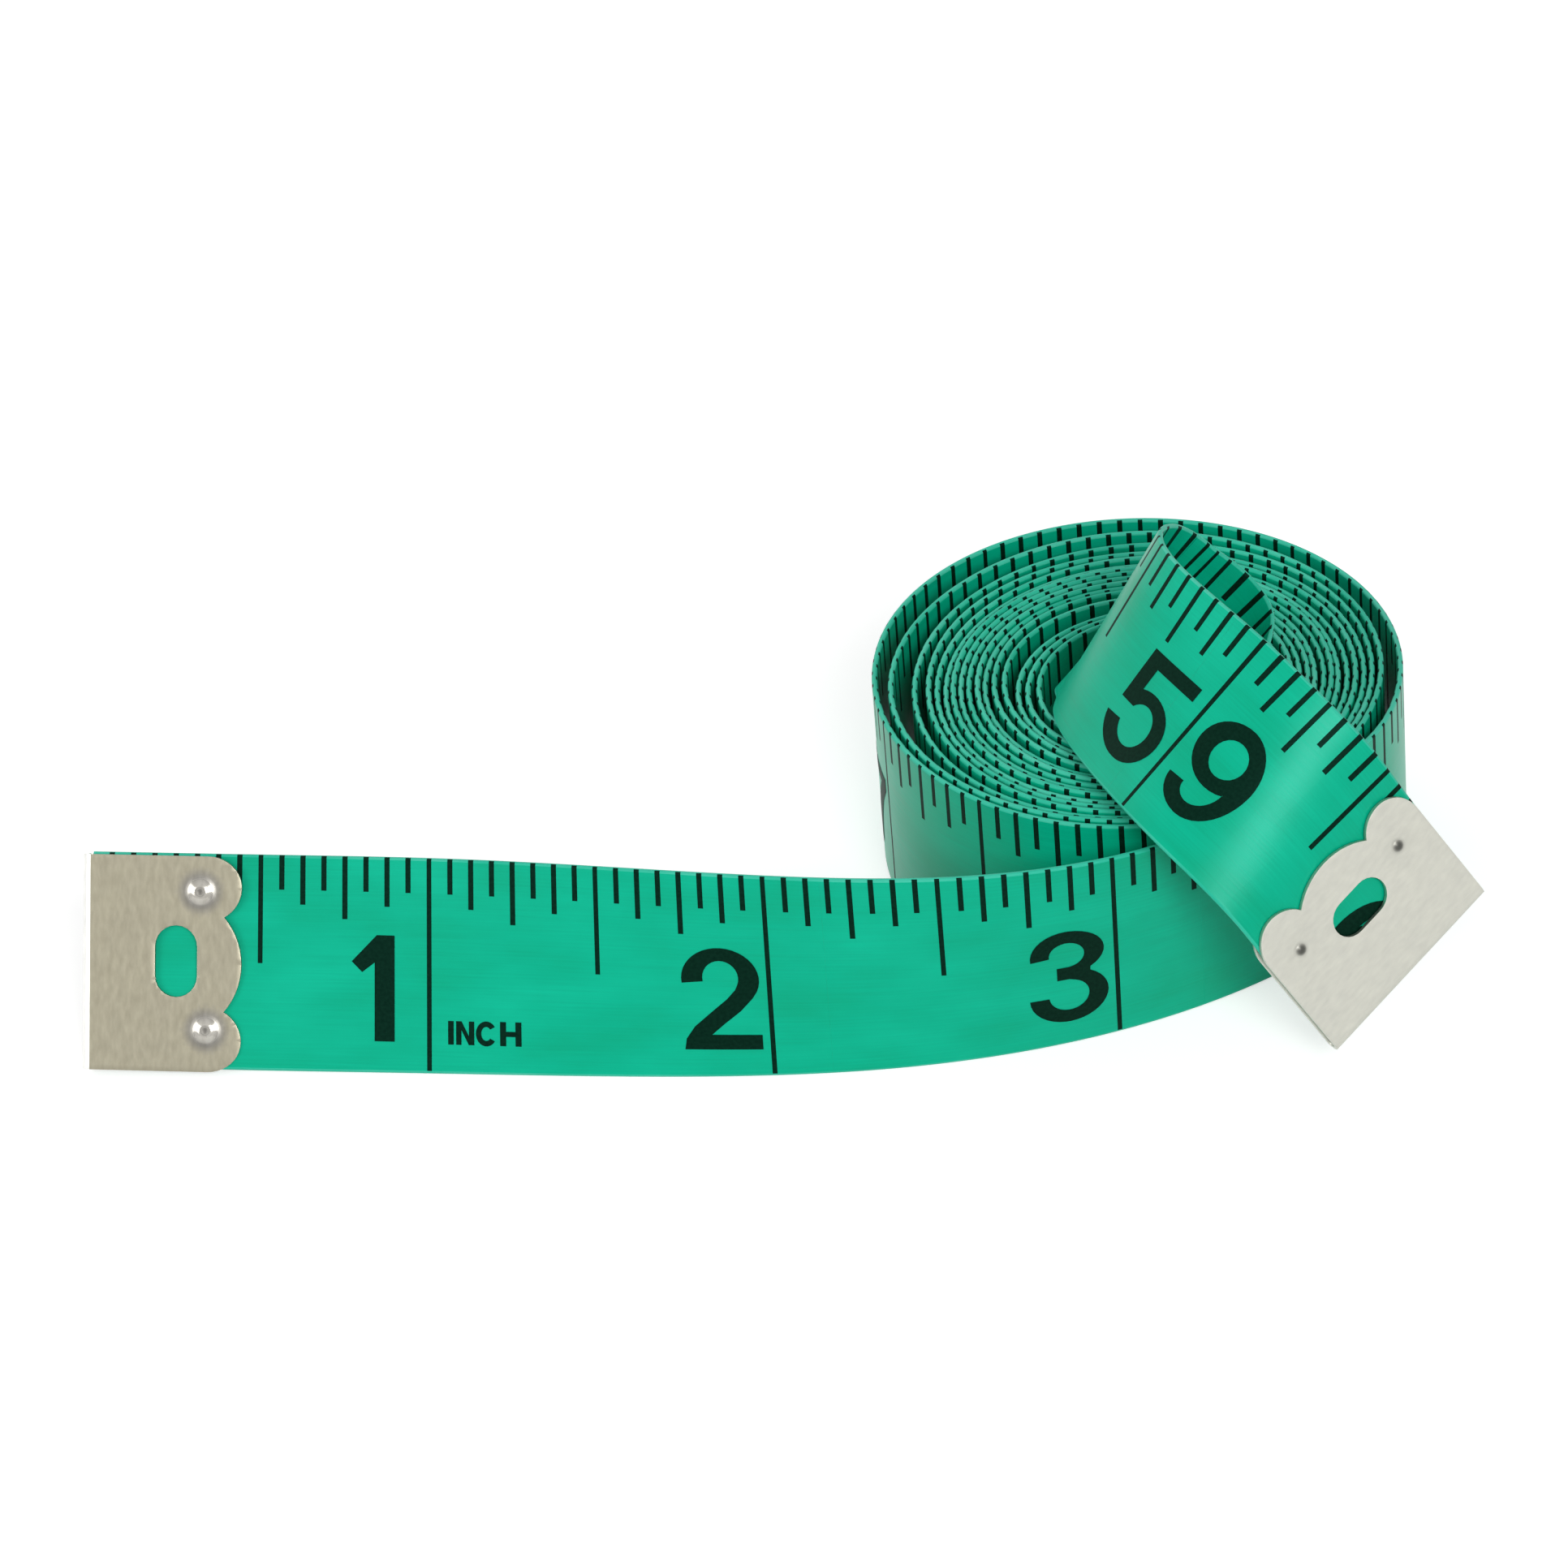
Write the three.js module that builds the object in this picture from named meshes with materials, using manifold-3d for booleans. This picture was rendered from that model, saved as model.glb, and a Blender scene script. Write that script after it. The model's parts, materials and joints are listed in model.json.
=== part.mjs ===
// Cloth tape measure, wound into a coil that stands on its edge, with both ends out.
// The tape is one laminated strip. It is cut where it flexes, at four hinge lines across its width,
// so that its free ends can swing. A folded sheet-metal clip is staked on each end.
// Millimetres, +Z up. The coil's axis is vertical, and the tape's plain edge is down.

import * as THREE from 'three';
import { mergeVertices } from 'three/addons/utils/BufferGeometryUtils.js';
import Module from 'manifold-3d';

const wasm = await Module();
wasm.setup();

// Tape: 5/8 inch wide
const tapeWidth = 15.875;
const tapeThickness = 0.35;

// Coil: the bore is measured to the middle of the tape's thickness, where the winding ends
const boreRadius = 7.4;
const turnGap = 0.425;
const fullTurns = 15;
const stepsPerTurn = 36;

// Free ends: the lead comes off the outer turn, and the tail rises out of the bore
const leadLength = 102.6;
const hingeGap = 0.4;
const leadStep = 3.2;
const leadStepParts = 4;
const tailStep = 1.9;

// Clip: one folded sheet, with a window, and two stakes through the tape
const clipLength = 11.9;
const clipSheet = 0.35;
const clipClearance = 0.15;
const clipWindowWidth = 3.3;
const clipWindowHeight = 5.1;
const clipLobeLength = 2.5;
const clipLobeRise = 2.25;
const stakeRadius = 0.5;
const stakeClearance = 0.15;
const stakeEdgeDistance = 2.9;
const domeRadius = 1.25;
const domeHeight = 0.4;
const domePitRadius = 0.3;
const pipRadius = 0.45;
const pipHeight = 0.2;
const roundSegments = 16;
const arcSegments = 6;
const samePoint = 0.001;
const cutOverrun = 1;

// Where things lie on the clip, as shares of its length from the fold, or of its width
const windowReachShare = 0.58;
const stakeReachShare = 0.745;
const clipNotchShare = 0.28;

// A stake's domed end from its side to its pit, in shares of the dome's radius and height
const domeShares = [[0.8, 0.75], [0.4, 1]];
const domePitShares = [0.8, 0.4];

// Outer and inner ends of the winding, as angles round the coil's axis
const coilStartAngle = -29;
const coilEndAngle = 225;

// The outermost turn stands off a little: where it does so most, as a share of a turn from the
// winding's outer end, and by what share of the coil's radius
const slackPlaceShare = 0.47;
const slackShare = 0.055;

// The lead's bends: share of its free length from the coil, heading of the tape and lean, in degrees
const leadBendShares = [
  [0, 61, 0],
  [0.07, 43.5, 0],
  [0.14, 29.5, 0],
  [0.21, 21, 0],
  [0.28, 14.5, 0],
  [0.35, 8.5, 1.5],
  [0.42, 3.5, 5],
  [0.49, -1, 9],
  [0.56, -4.5, 13],
  [0.63, -7, 17.5],
  [0.7, -8.5, 22],
  [0.78, -9, 27],
  [0.86, -9, 31],
  [0.93, -9, 33.5],
  [1, -9.5, 34.5],
];
const swingHingeShare = 0.35;
const curlHingeShare = 0.7;

// The tail's middle line: across and along the coil, in shares of the bore's radius while the tape
// is in the bore, then of the coil's radius, height as a share of the tape's width, and then which
// way and how far the tape's upper edge leans, in degrees
const tailBoreShares = [
  [-0.33, -0.85, 0.505, 0, 0],
  [0, -0.8, 0.54, 0, 0],
  [0.3, -0.67, 0.61, -85, 3],
  [0.49, -0.38, 0.71, -60, 11],
  [0.58, -0.08, 0.86, -27, 26],
  [0.5, 0.2, 1.02, -5, 41],
  [0.18, 0.27, 1.17, 5, 45],
];
const tailRimShares = [
  [-0.1, -0.04, 1.41, 16, 40],
  [-0.13, -0.215, 1.5, 21, 36],
  [-0.105, -0.405, 1.52, 21, 36],
  [-0.03, -0.61, 1.51, 21, 40],
  [0.06, -0.8, 1.49, 22, 47],
  [0.155, -0.96, 1.455, 24, 53],
  [0.275, -1.12, 1.37, 27, 58.5],
  [0.415, -1.235, 1.225, 30, 62.5],
  [0.525, -1.28, 1.05, 34.5, 65],
];
const tailEndHeading = -6.5;
const tailEndDive = 58.5;
const liftHingeShare = 0.65;
const foldHingeShare = 0.89;

// The tail's straight end, as a share of its clip's length
const tailEndShare = 1.05;

// Sizes that follow from the ones above
const turnPitch = tapeThickness + turnGap;
const coilTurns = fullTurns + (coilEndAngle - coilStartAngle) / 360;
const coilRadius = boreRadius + coilTurns * turnPitch;
const clipGap = tapeThickness + 2 * clipClearance;
const clipDepth = clipGap + 2 * clipSheet;
const tapeInset = clipSheet + clipClearance;
const leadFreeLength = leadLength - clipLength;

const up = new THREE.Vector3(0, 0, 1);
const radians = THREE.MathUtils.degToRad;

function heading(degrees) {
  return new THREE.Vector3(Math.cos(radians(degrees)), Math.sin(radians(degrees)), 0);
}

// A frame of the tape: the middle of its width, the way along it and the way across it, to the ticks
function tapeFrame(middle, along, across) {
  const forward = along.clone().normalize();
  const upward = across.clone().addScaledVector(forward, -across.dot(forward)).normalize();
  return { middle: middle.clone(), along: forward, across: upward, out: forward.clone().cross(upward) };
}

function tableAt(rows, share, column) {
  const last = rows.length - 1;
  let row = 0;
  while (row < last - 1 && share > rows[row + 1][0]) row += 1;
  const [from, to] = [rows[row], rows[row + 1]];
  const part = THREE.MathUtils.clamp((share - from[0]) / (to[0] - from[0]), 0, 1);
  return THREE.MathUtils.lerp(from[column], to[column], part);
}

// One closed strip along a list of tape frames
function stripGeometry(frames) {
  const corners = [];
  const faces = [];
  for (const frame of frames) {
    for (const [side, edge] of [[1, -1], [1, 1], [-1, 1], [-1, -1]]) {
      const corner = frame.middle.clone();
      corner.addScaledVector(frame.out, (side * tapeThickness) / 2);
      corner.addScaledVector(frame.across, (edge * tapeWidth) / 2);
      corners.push(corner.x, corner.y, corner.z);
    }
  }
  for (let step = 0; step < frames.length - 1; step += 1) {
    for (let side = 0; side < 4; side += 1) {
      const here = 4 * step + side;
      const beside = 4 * step + ((side + 1) % 4);
      faces.push(here, here + 4, beside + 4, here, beside + 4, beside);
    }
  }
  const end = 4 * (frames.length - 1);
  faces.push(0, 1, 2, 0, 2, 3, end, end + 2, end + 1, end, end + 3, end + 2);
  const geometry = new THREE.BufferGeometry();
  geometry.setAttribute('position', new THREE.Float32BufferAttribute(corners, 3));
  geometry.setIndex(faces);
  geometry.computeVertexNormals();
  return geometry;
}

// Booleans
function toSolid(geometry) {
  const bare = geometry.clone();
  bare.deleteAttribute('normal');
  bare.deleteAttribute('uv');
  const merged = mergeVertices(bare);
  const vertProperties = new Float32Array(merged.attributes.position.array);
  const triVerts = new Uint32Array(merged.index.array);
  return new wasm.Manifold(new wasm.Mesh({ numProp: 3, vertProperties, triVerts }));
}

function toGeometry(solid) {
  const mesh = solid.getMesh();
  const geometry = new THREE.BufferGeometry();
  geometry.setAttribute('position', new THREE.Float32BufferAttribute(mesh.vertProperties, 3));
  geometry.setIndex([...mesh.triVerts]);
  geometry.computeVertexNormals();
  return geometry;
}

// Lead: frames run from the clip's end towards the coil, and its lower edge rests on the table
function leadLowerEdge(distance) {
  const point = heading(coilStartAngle).multiplyScalar(coilRadius);
  const count = Math.max(1, Math.ceil(Math.abs(distance) / (leadStep / leadStepParts)));
  const step = distance / count;
  for (let index = 0; index < count; index += 1) {
    const share = ((index + 0.5) * step) / leadFreeLength;
    point.addScaledVector(heading(tableAt(leadBendShares, share, 1)), -step);
  }
  return point;
}

// The lower edge rises a little towards the clip, which is thicker and rests on its own corner
function leadRise(share, lean) {
  const curlLeft = THREE.MathUtils.smoothstep(share, curlHingeShare, 1);
  const depth = THREE.MathUtils.lerp(tapeThickness, clipDepth, curlLeft);
  return (Math.sin(radians(lean)) * depth) / 2;
}

function leadFrame(distance) {
  const share = distance / leadFreeLength;
  const turned = tableAt(leadBendShares, share, 1);
  const lean = tableAt(leadBendShares, share, 2);
  const across = heading(turned + 90).multiplyScalar(Math.sin(radians(lean)));
  across.addScaledVector(up, Math.cos(radians(lean)));
  const lower = leadLowerEdge(distance);
  lower.z = leadRise(share, lean);
  return tapeFrame(lower.addScaledVector(across, tapeWidth / 2), heading(turned), across);
}

function leadFrames(far, near) {
  const count = Math.ceil((far - near) / leadStep);
  const frames = [];
  for (let index = 0; index <= count; index += 1) {
    frames.push(leadFrame(THREE.MathUtils.lerp(far, near, index / count)));
  }
  return frames;
}

// Winding: a steady spiral inwards, inside an outermost turn that stands off a little
function coilFrame(turned) {
  const angle = coilStartAngle + 360 * turned;
  const fromSlack = THREE.MathUtils.clamp((turned - slackPlaceShare) / slackPlaceShare, -1, 1);
  const slack = (slackShare * coilRadius * (1 + Math.cos(Math.PI * fromSlack))) / 2;
  const radius = coilRadius - turnPitch * turned + slack;
  const middle = heading(angle).multiplyScalar(radius);
  middle.z = tapeWidth / 2;
  return tapeFrame(middle, heading(angle + 90), up);
}

function coilFrames() {
  const frames = [];
  const count = Math.floor(coilTurns * stepsPerTurn);
  for (let index = 0; index < count; index += 1) {
    frames.push(coilFrame(index / stepsPerTurn));
  }
  return frames;
}

// Tail: a smooth curve from the winding's end through its stations, and then a straight end
const pointsPerSpan = 20;

function tailRoute() {
  const frames = [coilFrame(coilTurns - 2 / stepsPerTurn), coilFrame(coilTurns)];
  const middles = frames.map((frame) => frame.middle);
  const acrosses = frames.map((frame) => frame.across);
  for (const [rows, reach] of [[tailBoreShares, boreRadius], [tailRimShares, coilRadius]]) {
    for (const [right, back, height, leanWay, lean] of rows) {
      middles.push(new THREE.Vector3(right * reach, back * reach, height * tapeWidth));
      const across = heading(leanWay).multiplyScalar(Math.sin(radians(lean)));
      acrosses.push(across.addScaledVector(up, Math.cos(radians(lean))));
    }
  }
  const endWay = heading(tailEndHeading).multiplyScalar(Math.cos(radians(tailEndDive)));
  endWay.addScaledVector(up, -Math.sin(radians(tailEndDive)));
  const endStart = middles[middles.length - 1];
  const endAcross = acrosses[acrosses.length - 1];
  middles.push(endStart.clone().addScaledVector(endWay, clipLength));
  acrosses.push(endAcross);
  const middle = new THREE.CatmullRomCurve3(middles, false, 'centripetal');
  const across = new THREE.CatmullRomCurve3(acrosses, false, 'catmullrom', 0.5);
  const spans = middles.length - 1;
  middle.arcLengthDivisions = spans * pointsPerSpan;
  const lengths = middle.getLengths();
  const whole = lengths[lengths.length - 1];
  const from = lengths[pointsPerSpan];
  const to = lengths[(spans - 1) * pointsPerSpan];
  return { middle, across, whole, from, to, endWay, endStart, endAcross };
}

const tail = tailRoute();
const tailCurveLength = tail.to - tail.from;

function tailFrame(distance) {
  const place = tail.middle.getUtoTmapping((tail.from + distance) / tail.whole);
  return tapeFrame(tail.middle.getPoint(place), tail.middle.getTangent(place), tail.across.getPoint(place));
}

function tailFrames(from, to) {
  const count = Math.ceil((to - from) / tailStep);
  const frames = [];
  for (let index = 0; index <= count; index += 1) {
    frames.push(tailFrame(THREE.MathUtils.lerp(from, to, index / count)));
  }
  return frames;
}

// The straight end of the tail, which the clip holds
const endLength = clipLength * tailEndShare;

function tailEndFrame(distance) {
  const middle = tail.endStart.clone().addScaledVector(tail.endWay, distance);
  return tapeFrame(middle, tail.endWay, tail.endAcross);
}

// Hinge lines lie across the tape, in the middle of their gaps
const swingDistance = swingHingeShare * leadFreeLength;
const curlDistance = curlHingeShare * leadFreeLength;
const liftDistance = liftHingeShare * tailCurveLength;
const foldDistance = foldHingeShare * tailCurveLength;
const halfGap = hingeGap / 2;

// The fold runs this far into the clip's two flat sheets
const foldLap = clipSheet;

// Clip, made flat: x from the fold along the tape, y across it, z out of its domed face
function clipOutline() {
  const shape = new THREE.Shape();
  const half = tapeWidth / 2;
  const notch = half - clipNotchShare * tapeWidth;
  const lobeStart = clipLength - clipLobeLength;
  const lobeMiddle = half - clipLobeRise;
  const notchTurn = Math.asin((lobeMiddle - notch) / clipLobeLength);
  const notchDepth = clipLobeLength * (1 - Math.cos(notchTurn));
  const midRadius = (notch ** 2 + notchDepth ** 2) / (2 * notchDepth);
  const midTurn = Math.asin(notch / midRadius);
  shape.moveTo(clipDepth / 2, -half);
  shape.lineTo(lobeStart, -half);
  shape.absellipse(lobeStart, -lobeMiddle, clipLobeLength, clipLobeRise, -Math.PI / 2, 0, false);
  shape.absarc(lobeStart, -lobeMiddle, clipLobeLength, 0, notchTurn, false);
  shape.absarc(clipLength - midRadius, 0, midRadius, -midTurn, midTurn, false);
  shape.absarc(lobeStart, lobeMiddle, clipLobeLength, -notchTurn, 0, false);
  shape.absellipse(lobeStart, lobeMiddle, clipLobeLength, clipLobeRise, 0, Math.PI / 2, false);
  shape.lineTo(clipDepth / 2, half);
  const points = shape.getPoints(arcSegments);
  const distinct = points.filter((point, index) => (
    index === 0 || point.distanceTo(points[index - 1]) > samePoint));
  return new THREE.Shape(distinct);
}

function clipWindow() {
  const straight = (clipWindowHeight - clipWindowWidth) / 2;
  const reach = windowReachShare * clipLength;
  const window = new THREE.Path();
  window.absarc(reach, straight, clipWindowWidth / 2, 0, Math.PI, false);
  window.absarc(reach, -straight, clipWindowWidth / 2, Math.PI, 2 * Math.PI, false);
  window.closePath();
  return window;
}

function clipPlate(bottom) {
  const outline = clipOutline();
  outline.holes.push(clipWindow());
  const settings = { depth: clipSheet, bevelEnabled: false, curveSegments: arcSegments };
  const plate = new THREE.ExtrudeGeometry(outline, settings);
  return toSolid(plate.translate(0, 0, bottom));
}

function clipFold() {
  const outer = clipDepth / 2;
  const inner = clipGap / 2;
  const ring = new THREE.Shape();
  ring.absarc(0, 0, outer, Math.PI / 2, 1.5 * Math.PI, false);
  ring.lineTo(foldLap, -outer);
  ring.lineTo(foldLap, -inner);
  ring.absarc(0, 0, inner, 1.5 * Math.PI, Math.PI / 2, true);
  ring.lineTo(foldLap, inner);
  ring.lineTo(foldLap, outer);
  ring.closePath();
  const settings = { depth: tapeWidth, bevelEnabled: false, curveSegments: arcSegments };
  const fold = new THREE.ExtrudeGeometry(ring, settings);
  return toSolid(fold.rotateX(Math.PI / 2).translate(outer, tapeWidth / 2, 0));
}

const stakePlaces = [-1, 1].map((side) => side * (tapeWidth / 2 - stakeEdgeDistance));

// A formed stake: a pin through the tape, a pitted dome on one face and a small pip on the other
function clipStake(place) {
  const front = clipDepth / 2;
  const profile = [
    [0, -front - pipHeight],
    [pipRadius / 2, -front - pipHeight],
    [pipRadius, -front],
    [stakeRadius, -front],
    [stakeRadius, front - clipSheet / 2],
    [domeRadius, front - clipSheet / 2],
    [domeRadius, front],
    ...domeShares.map(([out, height]) => [domeRadius * out, front + domeHeight * height]),
    [domePitRadius, front + domeHeight * domePitShares[0]],
    [0, front + domeHeight * domePitShares[1]],
  ].map(([radius, height]) => new THREE.Vector2(radius, height));
  const stake = new THREE.LatheGeometry(profile, roundSegments);
  return toSolid(stake.rotateX(Math.PI / 2).translate(stakeReachShare * clipLength, place, 0));
}

function clipGeometry() {
  const outerFace = clipDepth / 2;
  let clip = clipFold().add(clipPlate(outerFace - clipSheet)).add(clipPlate(-outerFace));
  for (const place of stakePlaces) clip = clip.add(clipStake(place));
  return toGeometry(clip);
}

// Holes that the stakes pass through, in a strip of tape that ends in the clip
function cutStakeHoles(geometry, placing) {
  let strip = toSolid(geometry);
  for (const place of stakePlaces) {
    const radius = stakeRadius + stakeClearance;
    const cutter = new THREE.CylinderGeometry(radius, radius, tapeThickness + 2 * cutOverrun, roundSegments);
    cutter.rotateX(Math.PI / 2).translate(stakeReachShare * clipLength, place, 0).applyMatrix4(placing);
    strip = strip.subtract(toSolid(cutter));
  }
  return toGeometry(strip);
}

// Places a clip's flat form: its fold at a point, its length inwards, its domed face to one side
function clipPlacing(fold, inwards, across, domedFace) {
  const placing = new THREE.Matrix4().makeBasis(inwards, across, domedFace);
  return placing.setPosition(fold);
}

const startFrame = leadFrame(leadFreeLength);
const startFold = startFrame.middle.clone().addScaledVector(startFrame.along, -clipLength);
const startPlacing = clipPlacing(startFold, startFrame.along, startFrame.across, startFrame.out);
const endFold = tailEndFrame(endLength).middle;
const endInwards = tail.endWay.clone().negate();
const endFrame = tailEndFrame(endLength);
const endPlacing = clipPlacing(endFold, endInwards, endFrame.across, endFrame.out.clone().negate());

// Materials
const tapeGreen = new THREE.MeshStandardMaterial({ color: 0x2fb98a, roughness: 0.45, metalness: 0 });
const clipMetal = new THREE.MeshStandardMaterial({ color: 0xb4aa98, roughness: 0.35, metalness: 0.9 });

const model = new THREE.Group();

function addMesh(name, geometry, material) {
  const mesh = new THREE.Mesh(geometry, material);
  mesh.name = name;
  model.add(mesh);
  return mesh;
}

// Tape strips, from the start of the scale to its end
const leadEndFrames = leadFrames(leadFreeLength, curlDistance + halfGap);
const leadTip = leadFrame(leadFreeLength);
leadTip.middle.addScaledVector(leadTip.along, tapeInset - clipLength);
leadEndFrames.unshift(leadTip);
addMesh('tape_lead_end', cutStakeHoles(stripGeometry(leadEndFrames), startPlacing), tapeGreen);

addMesh('tape_lead', stripGeometry(leadFrames(curlDistance - halfGap, swingDistance + halfGap)), tapeGreen);

const woundFrames = [
  ...leadFrames(swingDistance - halfGap, leadStep / 2),
  ...coilFrames(),
  ...tailFrames(0, liftDistance - halfGap),
];
addMesh('tape_coil', stripGeometry(woundFrames), tapeGreen);

addMesh('tape_tail', stripGeometry(tailFrames(liftDistance + halfGap, foldDistance - halfGap)), tapeGreen);

const tailEndFrames = [
  ...tailFrames(foldDistance + halfGap, tailCurveLength),
  tailEndFrame(endLength - tapeInset),
];
addMesh('tape_tail_end', cutStakeHoles(stripGeometry(tailEndFrames), endPlacing), tapeGreen);

// Clips
for (const [name, placing] of [['start_clip', startPlacing], ['end_clip', endPlacing]]) {
  const clip = addMesh(name, clipGeometry(), clipMetal);
  placing.decompose(clip.position, clip.quaternion, clip.scale);
}

// The origin is at the middle of the whole part's footprint, on the table
model.updateMatrixWorld(true);
const bounds = new THREE.Box3().setFromObject(model, true);
const centre = bounds.getCenter(new THREE.Vector3());
model.position.set(-centre.x, -centre.y, -bounds.min.z);
const part = new THREE.Group();
part.add(model);
part.updateMatrixWorld(true);

// The least gap from the wound tape to itself, half a turn or more along it, measured between points
// across its width and the stretches that join them
function leastGap(frames) {
  const heightShares = [-0.5, -0.25, 0, 0.25, 0.5];
  const lines = heightShares.map((share) => (
    frames.map((frame) => frame.middle.clone().addScaledVector(frame.across, share * tapeWidth))));
  const apart = stepsPerTurn / 2;
  const stretch = new THREE.Line3();
  const nearest = new THREE.Vector3();
  let least = Infinity;
  for (const points of lines) {
    for (const line of lines) {
      for (let index = 0; index < frames.length; index += 1) {
        for (let other = index + apart; other < frames.length - 1; other += 1) {
          stretch.set(line[other], line[other + 1]).closestPointToPoint(points[index], true, nearest);
          least = Math.min(least, nearest.distanceTo(points[index]));
        }
      }
    }
  }
  return least - tapeThickness;
}

console.log('least gap of the winding to itself, mm:', leastGap(woundFrames).toFixed(3));

function tapeRun(frames) {
  let run = 0;
  for (let index = 1; index < frames.length; index += 1) {
    run += frames[index].middle.distanceTo(frames[index - 1].middle);
  }
  return run;
}

const runs = [leadEndFrames, woundFrames, tailEndFrames].map(tapeRun);
const hinged = curlDistance - swingDistance + foldDistance - liftDistance;
console.log('tape length, mm:', (runs[0] + runs[1] + runs[2] + hinged).toFixed(1));

function tell(name, frame, way) {
  const place = frame.middle.clone().add(model.position);
  const axis = frame.across.clone().multiplyScalar(way);
  console.log(name, 'at', place.toArray().map((v) => v.toFixed(3)).join(' '),
    'along', axis.toArray().map((v) => v.toFixed(5)).join(' '));
}

console.log('coil axis at', model.position.toArray().map((v) => v.toFixed(3)).join(' '));
tell('lead_swing', leadFrame(swingDistance), 1);
tell('lead_curl', leadFrame(curlDistance), 1);
tell('tail_lift', tailFrame(liftDistance), -1);
tell('tail_fold', tailFrame(foldDistance), -1);

export default part;
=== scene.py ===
# Looks of a cloth tape measure: one coated strip wound into a coil that stands on its edge, with its
# printed scale on both faces, and a folded sheet-metal clip on each free end.
# The tables are in millimetres, and the meshes are turned to metres as they are made.

import json
import math

import bpy
import bmesh
import numpy as np
from mathutils import Matrix, Vector
from mathutils.geometry import delaunay_2d_cdt


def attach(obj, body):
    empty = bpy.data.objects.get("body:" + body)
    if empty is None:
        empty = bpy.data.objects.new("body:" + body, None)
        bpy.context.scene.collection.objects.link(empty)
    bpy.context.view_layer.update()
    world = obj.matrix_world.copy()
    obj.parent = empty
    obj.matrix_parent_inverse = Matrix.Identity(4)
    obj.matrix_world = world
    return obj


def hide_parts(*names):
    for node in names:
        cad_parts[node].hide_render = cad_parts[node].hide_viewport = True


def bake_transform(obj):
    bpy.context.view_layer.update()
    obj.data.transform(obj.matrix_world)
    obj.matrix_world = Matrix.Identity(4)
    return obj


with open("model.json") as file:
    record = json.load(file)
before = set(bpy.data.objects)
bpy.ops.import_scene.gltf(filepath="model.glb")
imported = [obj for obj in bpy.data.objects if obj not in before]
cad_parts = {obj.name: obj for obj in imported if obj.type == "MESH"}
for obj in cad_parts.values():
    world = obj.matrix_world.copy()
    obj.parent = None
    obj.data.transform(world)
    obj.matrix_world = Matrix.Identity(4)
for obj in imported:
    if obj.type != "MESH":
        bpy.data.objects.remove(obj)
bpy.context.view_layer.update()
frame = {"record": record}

MM = 0.001
INCH = 25.4
WELD_DISTANCE = 1e-5

# Strip
TAPE_WIDTH = 15.875
TAPE_THICKNESS = 0.42
SCALE_INCHES = 60
SCALE_LENGTH = SCALE_INCHES * INCH
HALF_WIDTH = TAPE_WIDTH / 2
HALF_THICKNESS = TAPE_THICKNESS / 2
COIL_AXIS = np.array([28.63, 5.03, 0])

# Lead and the start of the outer turn, from the coil's axis: place on the scale in inches, then the
# plain edge and the ticked edge
LEAD_STATIONS = [
    (0, (-79.8, -16.65, 0.5), (-78.3, -8.15, 13.8)),
    (0.5, (-67.3, -18.85, 0.4), (-65.7, -9.95, 13.5)),
    (1, (-54.7, -20.8, 0.3), (-53.4, -12.8, 13.9)),
    (1.5, (-42.2, -22.7, 0.15), (-41.3, -16.7, 14.75)),
    (2, (-29.5, -24.3, 0.1), (-29.3, -20.6, 15.5)),
    (2.5, (-16.8, -24.6, 0.1), (-16.8, -23.2, 15.9)),
    (3, (-4.3, -22.5, 0), (-4.2, -22.5, 15.875)),
    (3.5, (7.4, -17.7, 0), (7.4, -17.7, 15.875)),
]

# Coil: distance of each pass from the axis, outermost first, by direction from the axis in degrees.
# The first pass starts at COIL_START and the last one ends at COIL_END.
COIL_START = -31
COIL_END = 225
COIL_RADII = {
    -31: (
        19.25, 17.95, 17.4, 16.85, 16.3, 15.7, 15.1, 14.55,
        13.95, 13.4, 12.75, 12.1, 11.5, 10.8, 10.1, 9.35,
    ),
    0: (19.25, 17.8, 17.1, 16.45, 15.8, 15.15, 14.45, 14.0, 13.45, 12.7, 12.25, 11.65, 11.0, 10.3, 9.5, 8.6),
    45: (19.5, 17.7, 17.0, 15.9, 15.1, 14.4, 13.8, 13.35, 12.9, 12.0, 11.45, 10.95, 10.1, 9.1, 8.2, 7.4),
    90: (20.05, 17.9, 16.55, 15.3, 14.5, 13.8, 13.25, 12.8, 12.35, 11.4, 10.95, 10.45, 9.2, 7.9, 7.2, 6.7),
    135: (
        20.45, 18.05, 16.5, 15.45, 14.45, 13.85, 13.3, 12.85,
        12.4, 11.6, 11.15, 10.55, 9.5, 7.95, 7.15, 6.65,
    ),
    180: (19.7, 18.6, 16.85, 15.8, 15.15, 14.5, 13.95, 13.4, 12.8, 12.15, 11.6, 10.9, 10.15, 9.05, 8.25, 7.5),
    225: (
        19.4, 18.75, 17.85, 17.05, 16.4, 15.85, 15.2, 14.6,
        13.95, 13.3, 12.75, 11.9, 11.1, 10.6, 10.0, 8.95,
    ),
    250: (19.4, 18.7, 18.1, 17.6, 16.9, 16.3, 15.65, 15.05, 14.5, 13.9, 13.3, 12.55, 11.85, 11.2, 10.5),
    290: (18.8, 18.1, 17.5, 16.95, 16.3, 15.7, 15.1, 14.5, 13.95, 13.3, 12.7, 12.0, 11.3, 10.65, 9.9),
}

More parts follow.
